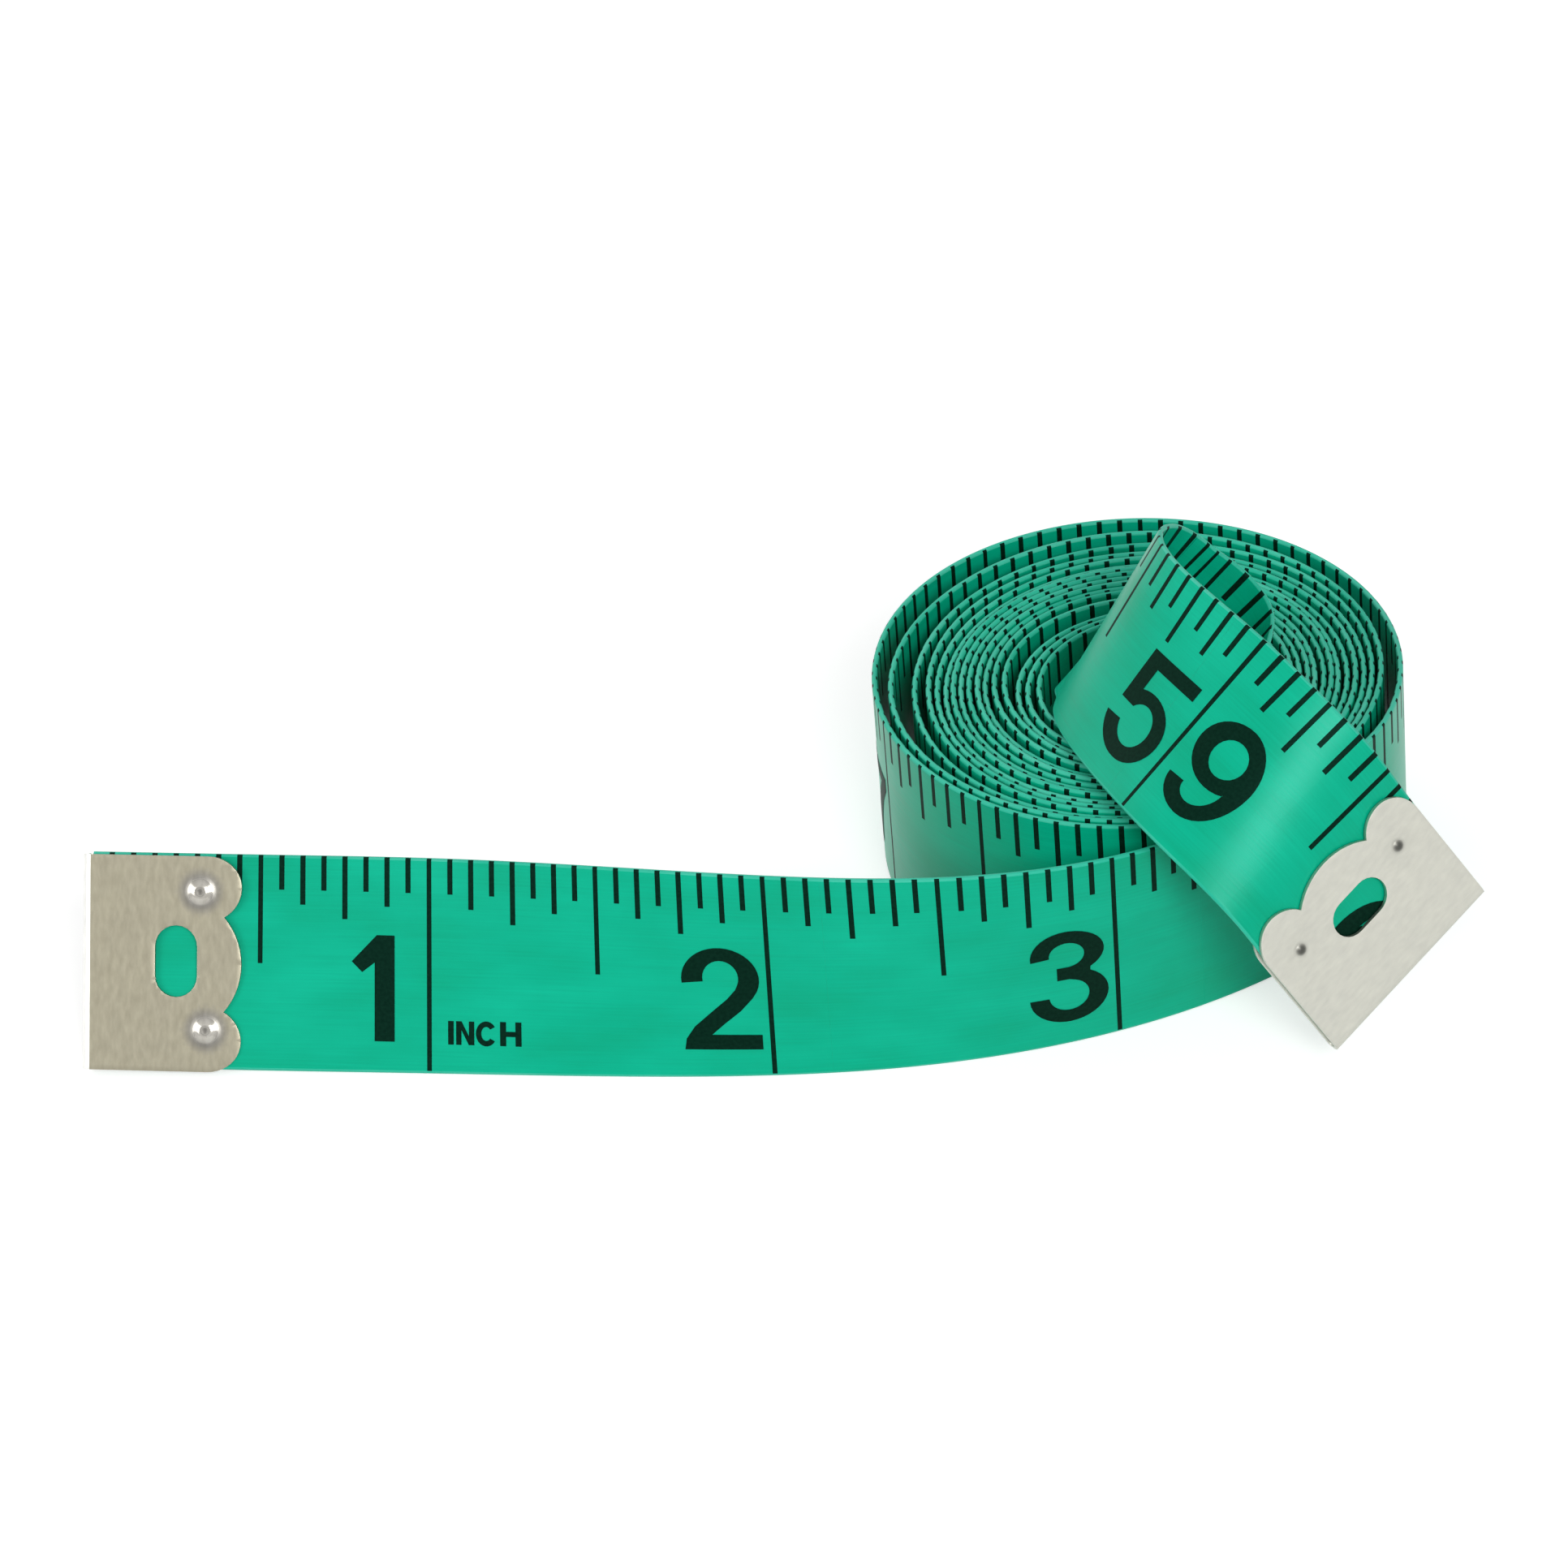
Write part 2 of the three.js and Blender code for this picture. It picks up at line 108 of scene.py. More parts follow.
# Tail, from the coil's axis: millimetres back from the end of the scale, then the plain edge and the
# ticked edge
TAIL_STATIONS = [
    (70, (0.3, -8.3, 1), (0, -9.3, 16.8)),
    (65, (4, -5.5, 3.2), (4.8, -8.3, 18.5)),
    (60, (3.9, -1.3, 5.6), (8.0, -6.3, 20.1)),
    (55.9, (0.7, 1.4, 8.2), (10.0, -1.7, 20.7)),
    (52.1, (-2.4, 1.8, 11), (8.6, 1.7, 22.4)),
    (48, (-5.3, 0.9, 13.8), (5.7, 2.2, 25.2)),
    (43.9, (-6.1, -2.2, 16), (3.0, 0.6, 28)),
    (40.1, (-6.75, -5.9, 17.15), (1.8, -2.5, 29.7)),
    (36.3, (-6.5, -9.6, 17.6), (2.3, -6.3, 30.4)),
    (32.1, (-5.4, -13.7, 17.9), (4.2, -10.1, 30.1)),
    (27.8, (-3.9, -17.9, 18.4), (6.6, -13.6, 29.1)),
    (24.2, (-2.5, -21.3, 18.6), (8.8, -16.3, 27.9)),
    (20, (-0.4, -25.0, 17.9), (11.5, -19.0, 25.9)),
    (15.7, (2.2, -27.7, 16.0), (14.2, -20.7, 23.1)),
    (12.1, (4.4, -29.2, 13.4), (16.2, -21.0, 20)),
    (7.9, (6.5, -29.5, 9.7), (18.3, -21.2, 16.4)),
    (4.2, (8.4, -29.7, 6.6), (20.2, -21.4, 13.3)),
    (0, (10.6, -29.9, 3.0), (22.4, -21.6, 9.7)),
]

# Between the tables: degrees between the winding's control points, how high the winding's foot rises
# and sinks, how fast it does so beside its turning, and how far to either side a direction is taken
COIL_KNOT_STEP = 12
SLACK_HEIGHT = 0.14
SLACK_PACE_SHARE = 0.37
DIRECTION_STEP = 0.05

# Where the strip is parted into pieces, as places on the scale, beside its hinge lines. Each length
# has a tongue inside the next one, and the reach of a bend at its hinge line is given, though no bend is
# made.
COIL_LEAD_PLACE = 83
LEAD_SPLIT_PLACE = 55
COIL_TAIL_PLACE = SCALE_LENGTH - 46
TAIL_SPLIT_PLACE = SCALE_LENGTH - 28
SCALE_START = 0.2
TONGUE_LENGTH = 0.3
TONGUE_WIDTH_SHARE = 0.998
TONGUE_HEIGHT_SHARE = 0.95
LEAD_BEND_REACH = 7
TAIL_BEND_REACH = 4.5
HINGE_SEARCH_STEP = 0.5

# Printed scale: sixteenths of an inch on both faces. The back scale starts at the other end.
TICKS_PER_INCH = 16
TICK_PITCH = INCH / TICKS_PER_INCH
TICK_WIDTH = 0.4
LONG_TICK_WIDTH = 0.36
LONG_TICK_RANK = 8
TICK_LENGTH_SHARES = {1: 0.176, 2: 0.243, 4: 0.305, 8: 0.518, 16: 1}
BACK_SHIFT = 0.36
BACK_STRETCH = 0.9998

# Mesh of the strip: widest and smallest gaps between its columns, extra rows, and its rounded rims
COLUMN_STEP = 0.45
WOUND_COLUMN_STEP = 0.8
LEAST_COLUMN_GAP = 0.005
END_STEP = 0.03
PLAIN_ROW_SHARES = (0.41, 0.63, 0.74, 0.86)
RIM_SEGMENTS = 6
RIM_INK_SEGMENTS = 2
EDGE_SUPPORT = 0.12

# The print wanders a little across the strip: places on the scale, and how far it has sunk there
DRIFT_PLACES = (12, 45, 76, 300)
DRIFTS = (-0.25, -0.08, 0.08, 0)

# Numbers: foot below the ticked edge, gap beside an inch line, and how far the ink stands off
DIGIT_FOOT = 13.75
DIGIT_GAP = 0.72
PAIR_GAP = 1.12
PAIR_END_RISE = 0.36
THIN_DIGIT_GAP = 1.88
INK_LIFT = 0.025
CUT_MARGIN = 1

# Between these places on the scale the signs are hidden in the winding: the end of the outer turn, for
# its front and its back, and the start of the turns around the bore
OUTER_TURN_END = 9.5 * INCH
OUTER_TURN_BACK_END = 3.2 * INCH
BORE_TURN_START = SCALE_LENGTH - 5.5 * INCH


def natural_spline(knots, values, at):
    """Values at some places on the smooth curve through values at the knots."""
    knots = np.asarray(knots, float)
    values = np.asarray(values, float)
    at = np.asarray(at, float)
    gaps = np.diff(knots)
    slopes = np.diff(values, axis=0) / gaps[:, None]
    count = len(knots)
    system = np.eye(count)
    bends = np.zeros_like(values)
    for row in range(1, count - 1):
        system[row, row - 1] = gaps[row - 1]
        system[row, row] = 2 * (gaps[row - 1] + gaps[row])
        system[row, row + 1] = gaps[row]
        bends[row] = 6 * (slopes[row] - slopes[row - 1])
    bends = np.linalg.solve(system, bends)
    span = np.clip(np.searchsorted(knots, at) - 1, 0, count - 2)
    step = gaps[span][:, None]
    after = (at - knots[span])[:, None]
    before = step - after
    curve = (bends[span] * before**3 + bends[span + 1] * after**3) / (6 * step)
    curve += (values[span] / step - bends[span] * step / 6) * before
    curve += (values[span + 1] / step - bends[span + 1] * step / 6) * after
    return curve


def coil_knots():
    """Angles through the winding and the strip's distance from the axis there."""
    angles = []
    radii = []
    directions = sorted(COIL_RADII)
    passes = len(COIL_RADII[COIL_START])
    for turn in range(passes):
        for direction in directions:
            if turn < len(COIL_RADII[direction]) and (turn < passes - 1 or direction <= COIL_END):
                angles.append(direction + 360 * turn)
                radii.append([COIL_RADII[direction][turn]])
    return angles, radii


def route_controls():
    """Control points of both edges along the strip, with the places on the scale that are known."""
    edges = []
    known = []
    for place, plain, ticked in LEAD_STATIONS:
        known.append((len(edges), place * INCH))
        edges.append((plain, ticked))
    angles, radii = coil_knots()
    turned = np.arange(COIL_START + COIL_KNOT_STEP / 2, angles[-1] + 1, COIL_KNOT_STEP)
    for angle, (radius,) in zip(turned, natural_spline(angles, radii, turned)):
        x = radius * math.cos(math.radians(angle))
        y = radius * math.sin(math.radians(angle))
        rise = SLACK_HEIGHT * (1 - math.cos(math.radians(angle - COIL_START) * SLACK_PACE_SHARE))
        edges.append(((x, y, rise), (x, y, rise + TAPE_WIDTH)))
    for back, plain, ticked in TAIL_STATIONS:
        known.append((len(edges), SCALE_LENGTH - back))
        edges.append((plain, ticked))
    return np.array(edges, float), known


class Route:
    """The strip's path: its middle line and the way across it, by place on the scale."""

    def __init__(self):
        """Measures the path along the control points, and keeps the places that are known on it."""
        edges, known = route_controls()
        middles = edges.mean(axis=1) + COIL_AXIS
        acrosses = edges[:, 1] - edges[:, 0]
        acrosses /= np.linalg.norm(acrosses, axis=1)[:, None]
        self.knots = np.concatenate([[0], np.cumsum(np.linalg.norm(np.diff(middles, axis=0), axis=1))])
        self.values = np.hstack([middles, acrosses])
        self.known_places = [place for _, place in known]
        self.known_knots = [self.knots[index] for index, _ in known]

    def frames(self, places):
        """Middles, ways along, ways across and outward normals at some places."""
        places = np.asarray(places, float)
        at = np.interp(places, self.known_places, self.known_knots)
        at += np.minimum(places - self.known_places[0], 0) + np.maximum(places - self.known_places[-1], 0)
        here = natural_spline(self.knots, self.values, at)
        ahead = natural_spline(self.knots, self.values, at + DIRECTION_STEP)
        behind = natural_spline(self.knots, self.values, at - DIRECTION_STEP)
        middle = here[:, :3]
        along = ahead[:, :3] - behind[:, :3]
        along /= np.linalg.norm(along, axis=1)[:, None]
        across = here[:, 3:]
        across = across - along * np.sum(across * along, axis=1)[:, None]
        across /= np.linalg.norm(across, axis=1)[:, None]
        return middle, along, across, np.cross(along, across)


route = Route()


def tick_rank(number):
    """How long the tick with this number is, as a key of the table of lengths."""
    for rank in (16, 8, 4, 2):
        if number % rank == 0:
            return rank
    return 1


def front_ticks():
    """Place, half width and length share of each tick on the front face."""
    ticks = []
    for number in range(1, SCALE_INCHES * TICKS_PER_INCH):
        rank = tick_rank(number)
        width = LONG_TICK_WIDTH if rank >= LONG_TICK_RANK else TICK_WIDTH
        ticks.append((number * TICK_PITCH, width / 2, TICK_LENGTH_SHARES[rank]))
    return ticks


def back_ticks():
    """The same for the back face, whose scale runs from the other end."""
    ticks = []
    for place, half, share in front_ticks():
        ticks.append((SCALE_LENGTH - place * BACK_STRETCH + BACK_SHIFT, half, share))
    return sorted(ticks)


FRONT_TICKS = front_ticks()
BACK_TICKS = back_ticks()
# The rims and the strip's ends take the paler rim material, a painted highlight along the edges.
GREEN, RIM_HIGHLIGHT, INK = 0, 1, 2


def profile(plain_shares):
    """The strip's section as a closed loop: across, out, and for each side the face it belongs to."""
    flat = HALF_WIDTH - HALF_THICKNESS
    shares = sorted([*TICK_LENGTH_SHARES.values(), *plain_shares])[:-1]
    rows = [HALF_WIDTH - share * TAPE_WIDTH for share in shares]
    rows = [flat, flat - EDGE_SUPPORT, *rows, EDGE_SUPPORT - flat, -flat]
    points = []
    sides = []
    for width in rows:
        points.append((width, HALF_THICKNESS))
        sides.append("front")
    sides[-1] = "foot"
    for turn in range(1, RIM_SEGMENTS):
        angle = math.pi * turn / RIM_SEGMENTS
        points.append((-flat - HALF_THICKNESS * math.sin(angle), HALF_THICKNESS * math.cos(angle)))
        sides.append("foot")
    for width in reversed(rows):
        points.append((width, -HALF_THICKNESS))
        sides.append("back")
    sides[-1] = "top"
    for turn in range(1, RIM_SEGMENTS):
        angle = math.pi * turn / RIM_SEGMENTS
        points.append((flat + HALF_THICKNESS * math.sin(angle), -HALF_THICKNESS * math.cos(angle)))
        sides.append("top")
    return points, sides


def is_wound(first):
    """Whether the length of strip that starts here is the winding, which stands upright all along."""
    return first == COIL_LEAD_PLACE


def column_places(first, last):
    """Where the strip's columns stand: on every tick's sides, and close enough to follow a bend."""
    places = {first, first + END_STEP, last - END_STEP, last}
    for ticks in (FRONT_TICKS, BACK_TICKS):
        for place, half, _ in ticks:
            for side in (place - half, place + half):
                if first + END_STEP < side < last - END_STEP:
                    places.add(side)
    step = WOUND_COLUMN_STEP if is_wound(first) else COLUMN_STEP
    ordered = sorted(places)
    filled = [ordered[0]]
    for place in ordered[1:]:
        gap = place - filled[-1]
        if gap < LEAST_COLUMN_GAP:
            continue
        parts = max(1, math.ceil(gap / step))
        filled.extend(np.linspace(filled[-1], place, parts + 1)[1:])
    return np.array(filled)


def tick_share_at(ticks, places):
    """Length share of the tick that covers each place, or zero between ticks."""
    centres = np.array([tick[0] for tick in ticks])
    halves = np.array([tick[1] for tick in ticks])
    shares = np.array([tick[2] for tick in ticks])
    nearest = np.clip(np.searchsorted(centres, places), 1, len(centres) - 1)
    nearest -= places - centres[nearest - 1] < centres[nearest] - places
    return np.where(np.abs(places - centres[nearest]) < halves[nearest], shares[nearest], 0)


def print_drift(places):
    """How far the print has sunk from its usual distance to the ticked edge."""
    return np.interp(places, DRIFT_PLACES, DRIFTS)


def strip_parts(first, last):
    """Points, faces, materials and flat places of a length of the strip, with a tongue into the next."""
    places = column_places(first, last)
    points, sides = profile(() if is_wound(first) else PLAIN_ROW_SHARES)
    tongued = last < SCALE_LENGTH - SCALE_START
    if tongued:
        places = np.append(places, last + TONGUE_LENGTH)
    middle, along, across, out = route.frames(places)
    ring = np.array(points)
    on_face = np.abs(ring[:, 0]) < HALF_WIDTH - HALF_THICKNESS - EDGE_SUPPORT * 2
    widths = ring[None, :, 0] - on_face * print_drift(places)[:, None]
    heights = np.tile(ring[:, 1], (len(places), 1))
    if tongued:
        widths[-1] *= TONGUE_WIDTH_SHARE
        heights[-1] *= TONGUE_HEIGHT_SHARE
    vertices = (
        middle[:, None, :]
        + across[:, None, :] * widths[:, :, None]
        + out[:, None, :] * heights[:, :, None]
    ).reshape(-1, 3)
    count = len(points)
    centres = (places[1:] + places[:-1]) / 2
    front = tick_share_at(FRONT_TICKS, centres)
    back = tick_share_at(BACK_TICKS, centres)
    top_first = sides.index("top")
    faces = []
    materials = []
    for column in range(len(places) - 1):
        for side in range(count):
            beside = (side + 1) % count
            start = column * count
            faces.append((start + side, start + beside, start + beside + count, start + side + count))
            depth = (HALF_WIDTH - (points[side][0] + points[beside][0]) / 2) / TAPE_WIDTH
            material = GREEN
            if sides[side] == "front":
                material = INK if depth < front[column] else GREEN
            elif sides[side] == "back":
                material = INK if depth < back[column] else GREEN
            elif sides[side] == "top":
                from_back = side - top_first < RIM_INK_SEGMENTS
                from_front = side >= count - RIM_INK_SEGMENTS
                inked = (from_back and back[column] > 0) or (from_front and front[column] > 0)
                material = INK if inked else RIM_HIGHLIGHT
            else:
                material = RIM_HIGHLIGHT
            materials.append(material)
    faces.append(tuple(reversed(range(count))))
    faces.append(tuple(range(len(vertices) - count, len(vertices))))
    materials.extend([RIM_HIGHLIGHT, RIM_HIGHLIGHT])
    flat = np.column_stack([np.repeat(places, count), widths.ravel()])
    return vertices, faces, materials, flat


def arc(centre, radii, start, end, steps=14):
    """Points on part of an ellipse, angles in degrees."""
    angles = np.radians(np.linspace(start, end, steps))
    return [(centre[0] + radii[0] * math.cos(a), centre[1] + radii[1] * math.sin(a)) for a in angles]


# Signs as closed outlines in millimetres, from the foot up and from the left: bold, plain figures
BIG_BOWL = arc((2.94, 5.45), (2.94, 2.67), 90, 302, 22)
NINE = [
    arc((2.75, 2.1), (2.66, 2.1), 183, 270, 9)
    + arc((2.8, 4.4), (3.14, 4.4), -88, 0, 12)
    + arc((2.94, 4.4), (3.0, 3.72), 4, 88, 12)
    + BIG_BOWL
    + arc((2.75, 3.3), (1.72, 2.18), 0, -90, 10)
    + arc((2.75, 2.1), (1.16, 0.98), -96, -180, 8),
    arc((2.94, 5.38), (1.44, 1.5), 0, 350, 24),
]
GLYPHS = {
    "0": [arc((2.97, 4.03), (2.97, 4.1), 0, 350, 36), arc((2.97, 4.03), (1.42, 2.95), 0, 350, 30)],
    "1": [[(1.72, 0), (3.22, 0), (3.22, 7.8), (1.88, 7.8), (0, 5.84), (0.78, 5.06), (1.72, 5.78)]],
    "2": [
        arc((2.87, 5.5), (2.88, 2.44), 188, -22, 24)
        + [(5.2, 4.05), (4.28, 3.03), (3.03, 2.0), (2.09, 1.16), (5.75, 1.16), (5.75, 0), (0.06, 0)]
        + [(0.2, 0.84), (0.84, 1.78), (2.09, 2.9), (3.3, 3.95), (3.95, 4.7)]
        + arc((2.89, 5.6), (1.33, 1.34), -22, 192, 18)
    ],
    "3": [
        arc((2.87, 5.95), (2.71, 2.14), 186, 90, 10)
        + arc((2.87, 6.15), (2.82, 1.94), 86, -52, 14)
        + arc((2.94, 2.35), (2.96, 2.35), 56, -90, 16)
        + arc((2.94, 2.3), (2.94, 2.3), -96, -180, 9)
        + [(1.41, 2.31)]
        + arc((2.94, 2.4), (1.5, 1.34), 184, 430, 22)
        + [(3.0, 3.8), (2.09, 3.8), (2.09, 4.9), (3.0, 4.9)]
        + arc((2.87, 5.98), (1.32, 1.08), -66, 186, 20)
    ],
    "4": [
        [(3.6, 0), (5.05, 0), (5.05, 1.78), (6.1, 1.78), (6.1, 2.9), (5.05, 2.9), (5.05, 7.9)]
        + [(3.5, 7.9), (0.1, 3.05), (0.1, 1.78), (3.6, 1.78)],
        [(3.6, 2.9), (1.35, 2.9), (3.6, 6.1)],
    ],
    "5": [
        [(0.9, 8.06), (6.47, 8.06), (6.47, 6.94), (2.19, 6.94)]
        + arc((3.4, 2.72), (3.16, 2.72), 115, -90, 26)
        + arc((3.1, 2.72), (3.1, 2.72), -94, -171, 10)
        + arc((3.4, 2.8), (1.72, 1.64), 194, 270, 9)
        + arc((3.5, 2.8), (1.62, 1.64), -86, 145, 22)
        + [(0.56, 3.75)]
    ],
    "6": [[(5.94 - x, 8.12 - y) for x, y in loop] for loop in NINE],
    "7": [
        [(0, 7.9), (5.95, 7.9), (5.95, 6.8), (4.75, 5.2), (3.85, 3.4), (3.3, 1.7), (3.05, 0), (1.45, 0)]
        + [(1.7, 1.7), (2.3, 3.5), (3.2, 5.2), (4.3, 6.7), (0, 6.7)]
    ],
    "8": [
        arc((2.95, 6.0), (2.55, 2.12), -50, 230, 26) + arc((2.95, 2.35), (2.95, 2.4), 130, 410, 28),
        arc((2.95, 6.0), (1.2, 1.08), 0, 345, 20),
        arc((2.95, 2.4), (1.42, 1.3), 0, 345, 22),
    ],
    "9": NINE,
}

# The unit word, as places after its inch line and outlines
WORD_FOOT = 13.85
WORD = [
    (1.41, [[(0, 0), (0.42, 0), (0.42, 1.75), (0, 1.75)]]),
    (2.01, [
        [(0, 0), (0.4, 0), (0.4, 1.1), (0.95, 0), (1.36, 0), (1.36, 1.75), (0.96, 1.75), (0.96, 0.65)]
        + [(0.41, 1.75), (0, 1.75)]
    ]),
    (3.49, [arc((0.78, 0.87), (0.78, 0.93), 35, 325, 20) + arc((0.78, 0.87), (0.38, 0.52), 320, 40, 16)]),
    (5.3, [
        [(0, 0), (0.45, 0), (0.45, 0.7), (1.15, 0.7), (1.15, 0), (1.6, 0), (1.6, 1.8), (1.15, 1.8)]
        + [(1.15, 1.08), (0.45, 1.08), (0.45, 1.8), (0, 1.8)]
    ]),
]


def inside(point, loops):
    """Whether a flat point is inside closed loops, where a loop in another one is a hole."""
    x, y = point
    crossed = False
    for loop in loops:
        for (ax, ay), (bx, by) in zip(loop, loop[1:] + loop[:1]):
            if (ay > y) != (by > y) and x < ax + (y - ay) / (by - ay) * (bx - ax):
                crossed = not crossed
    return crossed


def flat_glyph(loops, cuts):
    """Flat triangles that fill a glyph, cut along upright lines."""
    vertices = []
    edges = []
    for loop in loops:
        base = len(vertices)
        vertices.extend(Vector(point) for point in loop)
        edges.extend((base + i, base + (i + 1) % len(loop)) for i in range(len(loop)))
    low = min(v.y for v in vertices) - CUT_MARGIN
    high = max(v.y for v in vertices) + CUT_MARGIN
    for place in cuts:
        edges.append((len(vertices), len(vertices) + 1))
        vertices.extend([Vector((place, low)), Vector((place, high))])
    points, _, triangles, *_ = delaunay_2d_cdt(vertices, edges, [], 0, WELD_DISTANCE)
    points = np.array([(p.x, p.y) for p in points])
    return points, [triangle for triangle in triangles if inside(points[list(triangle)].mean(axis=0), loops)]


def number_width(sign):
    """How far a sign's cell reaches to the right: the one is a thin figure in a cell of the same width."""
    width = max(x for loop in GLYPHS[sign] for x, _ in loop)
    return width + THIN_DIGIT_GAP if sign == "1" else width


def scale_marks():
    """Every printed sign on a face: its outlines, the place of its cell's left side, and its foot."""
    marks = []
    for number in range(1, SCALE_INCHES + 1):
        text = str(number)
        line = number * INCH
        gap = DIGIT_GAP if len(text) == 1 or number == SCALE_INCHES else PAIR_GAP
        marks.append((GLYPHS[text[0]], line - gap - number_width(text[0]), DIGIT_FOOT))
        if len(text) == 2 and number < SCALE_INCHES:
            marks.append((GLYPHS[text[1]], line + PAIR_GAP, DIGIT_FOOT - PAIR_END_RISE))
    for place, loops in WORD:
        marks.append((loops, INCH + place, WORD_FOOT))
    return marks


def mark_place(face, place):
    """Where a place on a face's own scale lies on the strip."""
    return place if face == "front" else SCALE_LENGTH - place * BACK_STRETCH + BACK_SHIFT


def print_parts(first, last, hidden):
    """Points, faces and flat places of the signs on a length of the strip."""
    columns = column_places(first, last)
    middle, _, across, out = route.frames(columns)
    frames = np.hstack([middle, across, out])
    vertices = []
    faces = []
    flats = []
    for face in ("front", "back"):
        height = (HALF_THICKNESS + INK_LIFT) * (1 if face == "front" else -1)
        for loops, left, foot in scale_marks():
            right = left + max(x for loop in loops for x, _ in loop)
            if face == "front":
                cuts = columns - left
            else:
                cuts = (SCALE_LENGTH + BACK_SHIFT - columns) / BACK_STRETCH - left
            cuts = cuts[(cuts > 0) & (cuts < right - left)]
            if not len(cuts) or hidden(face, mark_place(face, left)):
                continue
            points, triangles = flat_glyph(loops, cuts)
            places = mark_place(face, left + points[:, 0])
            widths = HALF_WIDTH - foot - print_drift(places) + points[:, 1]
            column = np.clip(np.searchsorted(columns, places) - 1, 0, len(columns) - 2)
            part = ((places - columns[column]) / (columns[column + 1] - columns[column]))[:, None]
            at = frames[column] * (1 - part) + frames[column + 1] * part
            base = len(flats)
            vertices.extend(at[:, :3] + at[:, 3:6] * widths[:, None] + at[:, 6:] * height)
            flats.extend(zip(places, widths))
            for triangle in triangles:
                if first < places[list(triangle)].mean() < last:
                    faces.append([base + corner for corner in triangle])
    return vertices, faces, flats


def mesh_object(name, vertices, faces, materials, flat, finishes):
    """A mesh object in metres, with its flat places as a UV map. Only its many-cornered ends are flat."""
    mesh = bpy.data.meshes.new(name)
    mesh.from_pydata((np.asarray(vertices) * MM).tolist(), [], faces)
    mesh.polygons.foreach_set("material_index", materials)
    mesh.polygons.foreach_set("use_smooth", [len(face) <= 4 for face in faces])
    uv = mesh.uv_layers.new(name="flat")
    corners = np.zeros(len(mesh.loops), int)
    mesh.loops.foreach_get("vertex_index", corners)
    uv.data.foreach_set("uv", (np.asarray(flat)[corners] * MM).ravel())
    for finish in finishes:
        mesh.materials.append(finish)
    piece = bpy.data.objects.new(name, mesh)
    bpy.context.collection.objects.link(piece)
    return piece


WHITE = (1, 1, 1, 1)

# Spans of a noise that are spread over a colour ramp
SOFT_SPAN = (0.3, 0.7)
FIBRE_SPAN = (0.3, 0.75)
GRAIN_SPAN = (0.25, 0.75)

# Tape material: how often the mottle and the fibres repeat along and across the strip, per metre, the
# fibres' tones, how far they change the roughness, and their relief
MOTTLE_PACE = (90, 220)
FIBRE_PACE = (130, 6500)
FIBRE_DARK = (0.93, 0.94, 0.93, 1)
FIBRE_PALE = (1.06, 1.04, 1.04, 1)
FIBRE_SMOOTHER = 0.08
FIBRE_ROUGHER = 0.1
FIBRE_RELIEF = {"Strength": 0.12, "Distance": 0.05 * MM}
COAT_TINT = (0.35, 1, 0.9, 1)
COAT_GLOSS = 0.32

# Ink material
INK_PACE = (4000, 4000)
INK_DETAIL = 2
INK_DARK = (1, 27, 15)
INK_PALE = (7, 39, 26)
INK_GLOSS = 0.08
INK_ROUGHNESS = 0.5

# Metal material: pace of its fine grain and of its clouds, the clouds' darkest tint, its relief, the
# name of the painted highlight and shade around the stakes that is kept with each point of a mesh, and
# the brightest of those painted tones, where the metal is also burnished smoother
GRAIN_PACE = (2600, 900, 1800)
CLOUD_PACE = 700
METAL_DETAIL = 4
CLOUD_TINT = (0.95, 0.95, 0.96, 1)
METAL_RELIEF = {"Strength": 0.1, "Distance": 0.03 * MM}
PAINTED_LIGHT_ATTRIBUTE = "painted_light"
BURNISHED_HIGHLIGHTS = (1.02, 1.2)
BURNISHED_SHARE = 0.4


def node_adder(tree):
    """A helper that adds nodes to a tree."""
    def node(kind, inputs=None, **settings):
        """Adds a node, and links or sets its inputs."""
        made = tree.nodes.new(kind)
        for key, value in settings.items():
            setattr(made, key, value)
        for key, value in (inputs or {}).items():
            if isinstance(value, bpy.types.NodeSocket):
                tree.links.new(value, made.inputs[key])
            else:
                made.inputs[key].default_value = value
        return made

    return node


def new_material(name):
    """An empty node material and a helper that adds nodes to it."""
    material = bpy.data.materials.new(name)
    material.use_nodes = True
    material.node_tree.nodes.clear()
    return material, node_adder(material.node_tree)


def linear(red, green, blue):
    """A colour given as 0 to 255 on the screen, turned to light by the sRGB curve."""
    def channel(value):
        """One channel of the colour."""
        value /= 255
        return value / 12.92 if value <= 0.04045 else ((value + 0.055) / 1.055) ** 2.4

    return (channel(red), channel(green), channel(blue), 1)


def streaks(node, pace, detail=3):
    """Noise over the flat strip: its pace along and across the strip, per metre."""
    uv = node("ShaderNodeUVMap", uv_map="flat")
    stretched = node("ShaderNodeMapping", {"Vector": uv.outputs["UV"], "Scale": (*pace, 1)})
    return node("ShaderNodeTexNoise", {"Vector": stretched.outputs["Vector"], "Scale": 1, "Detail": detail})


def ramp(node, factor, span, stops):
    """A colour ramp over a span of the factor, with stops as (place, colour), of which two are its ends."""
    spread = node("ShaderNodeMapRange", {"Value": factor, "From Min": span[0], "From Max": span[1]})
    made = node("ShaderNodeValToRGB", {"Fac": spread.outputs["Result"]})
    elements = made.color_ramp.elements
    for index, (place, colour) in enumerate(stops):
        element = elements[index] if index < 2 else elements.new(place)
        element.position = place
        element.color = colour
    return made.outputs["Color"]


def multiplied(node, first, second):
    """The product of two colours."""
    product = node("ShaderNodeMix", data_type="RGBA", blend_type="MULTIPLY")
    factor = next(socket for socket in product.inputs if socket.type == "VALUE")
    factor.default_value = 1
    colours = [socket for socket in product.inputs if socket.type == "RGBA"]
    for socket, colour in zip(colours, (first, second)):
        product.id_data.links.new(colour, socket)
    return next(socket for socket in product.outputs if socket.type == "RGBA")


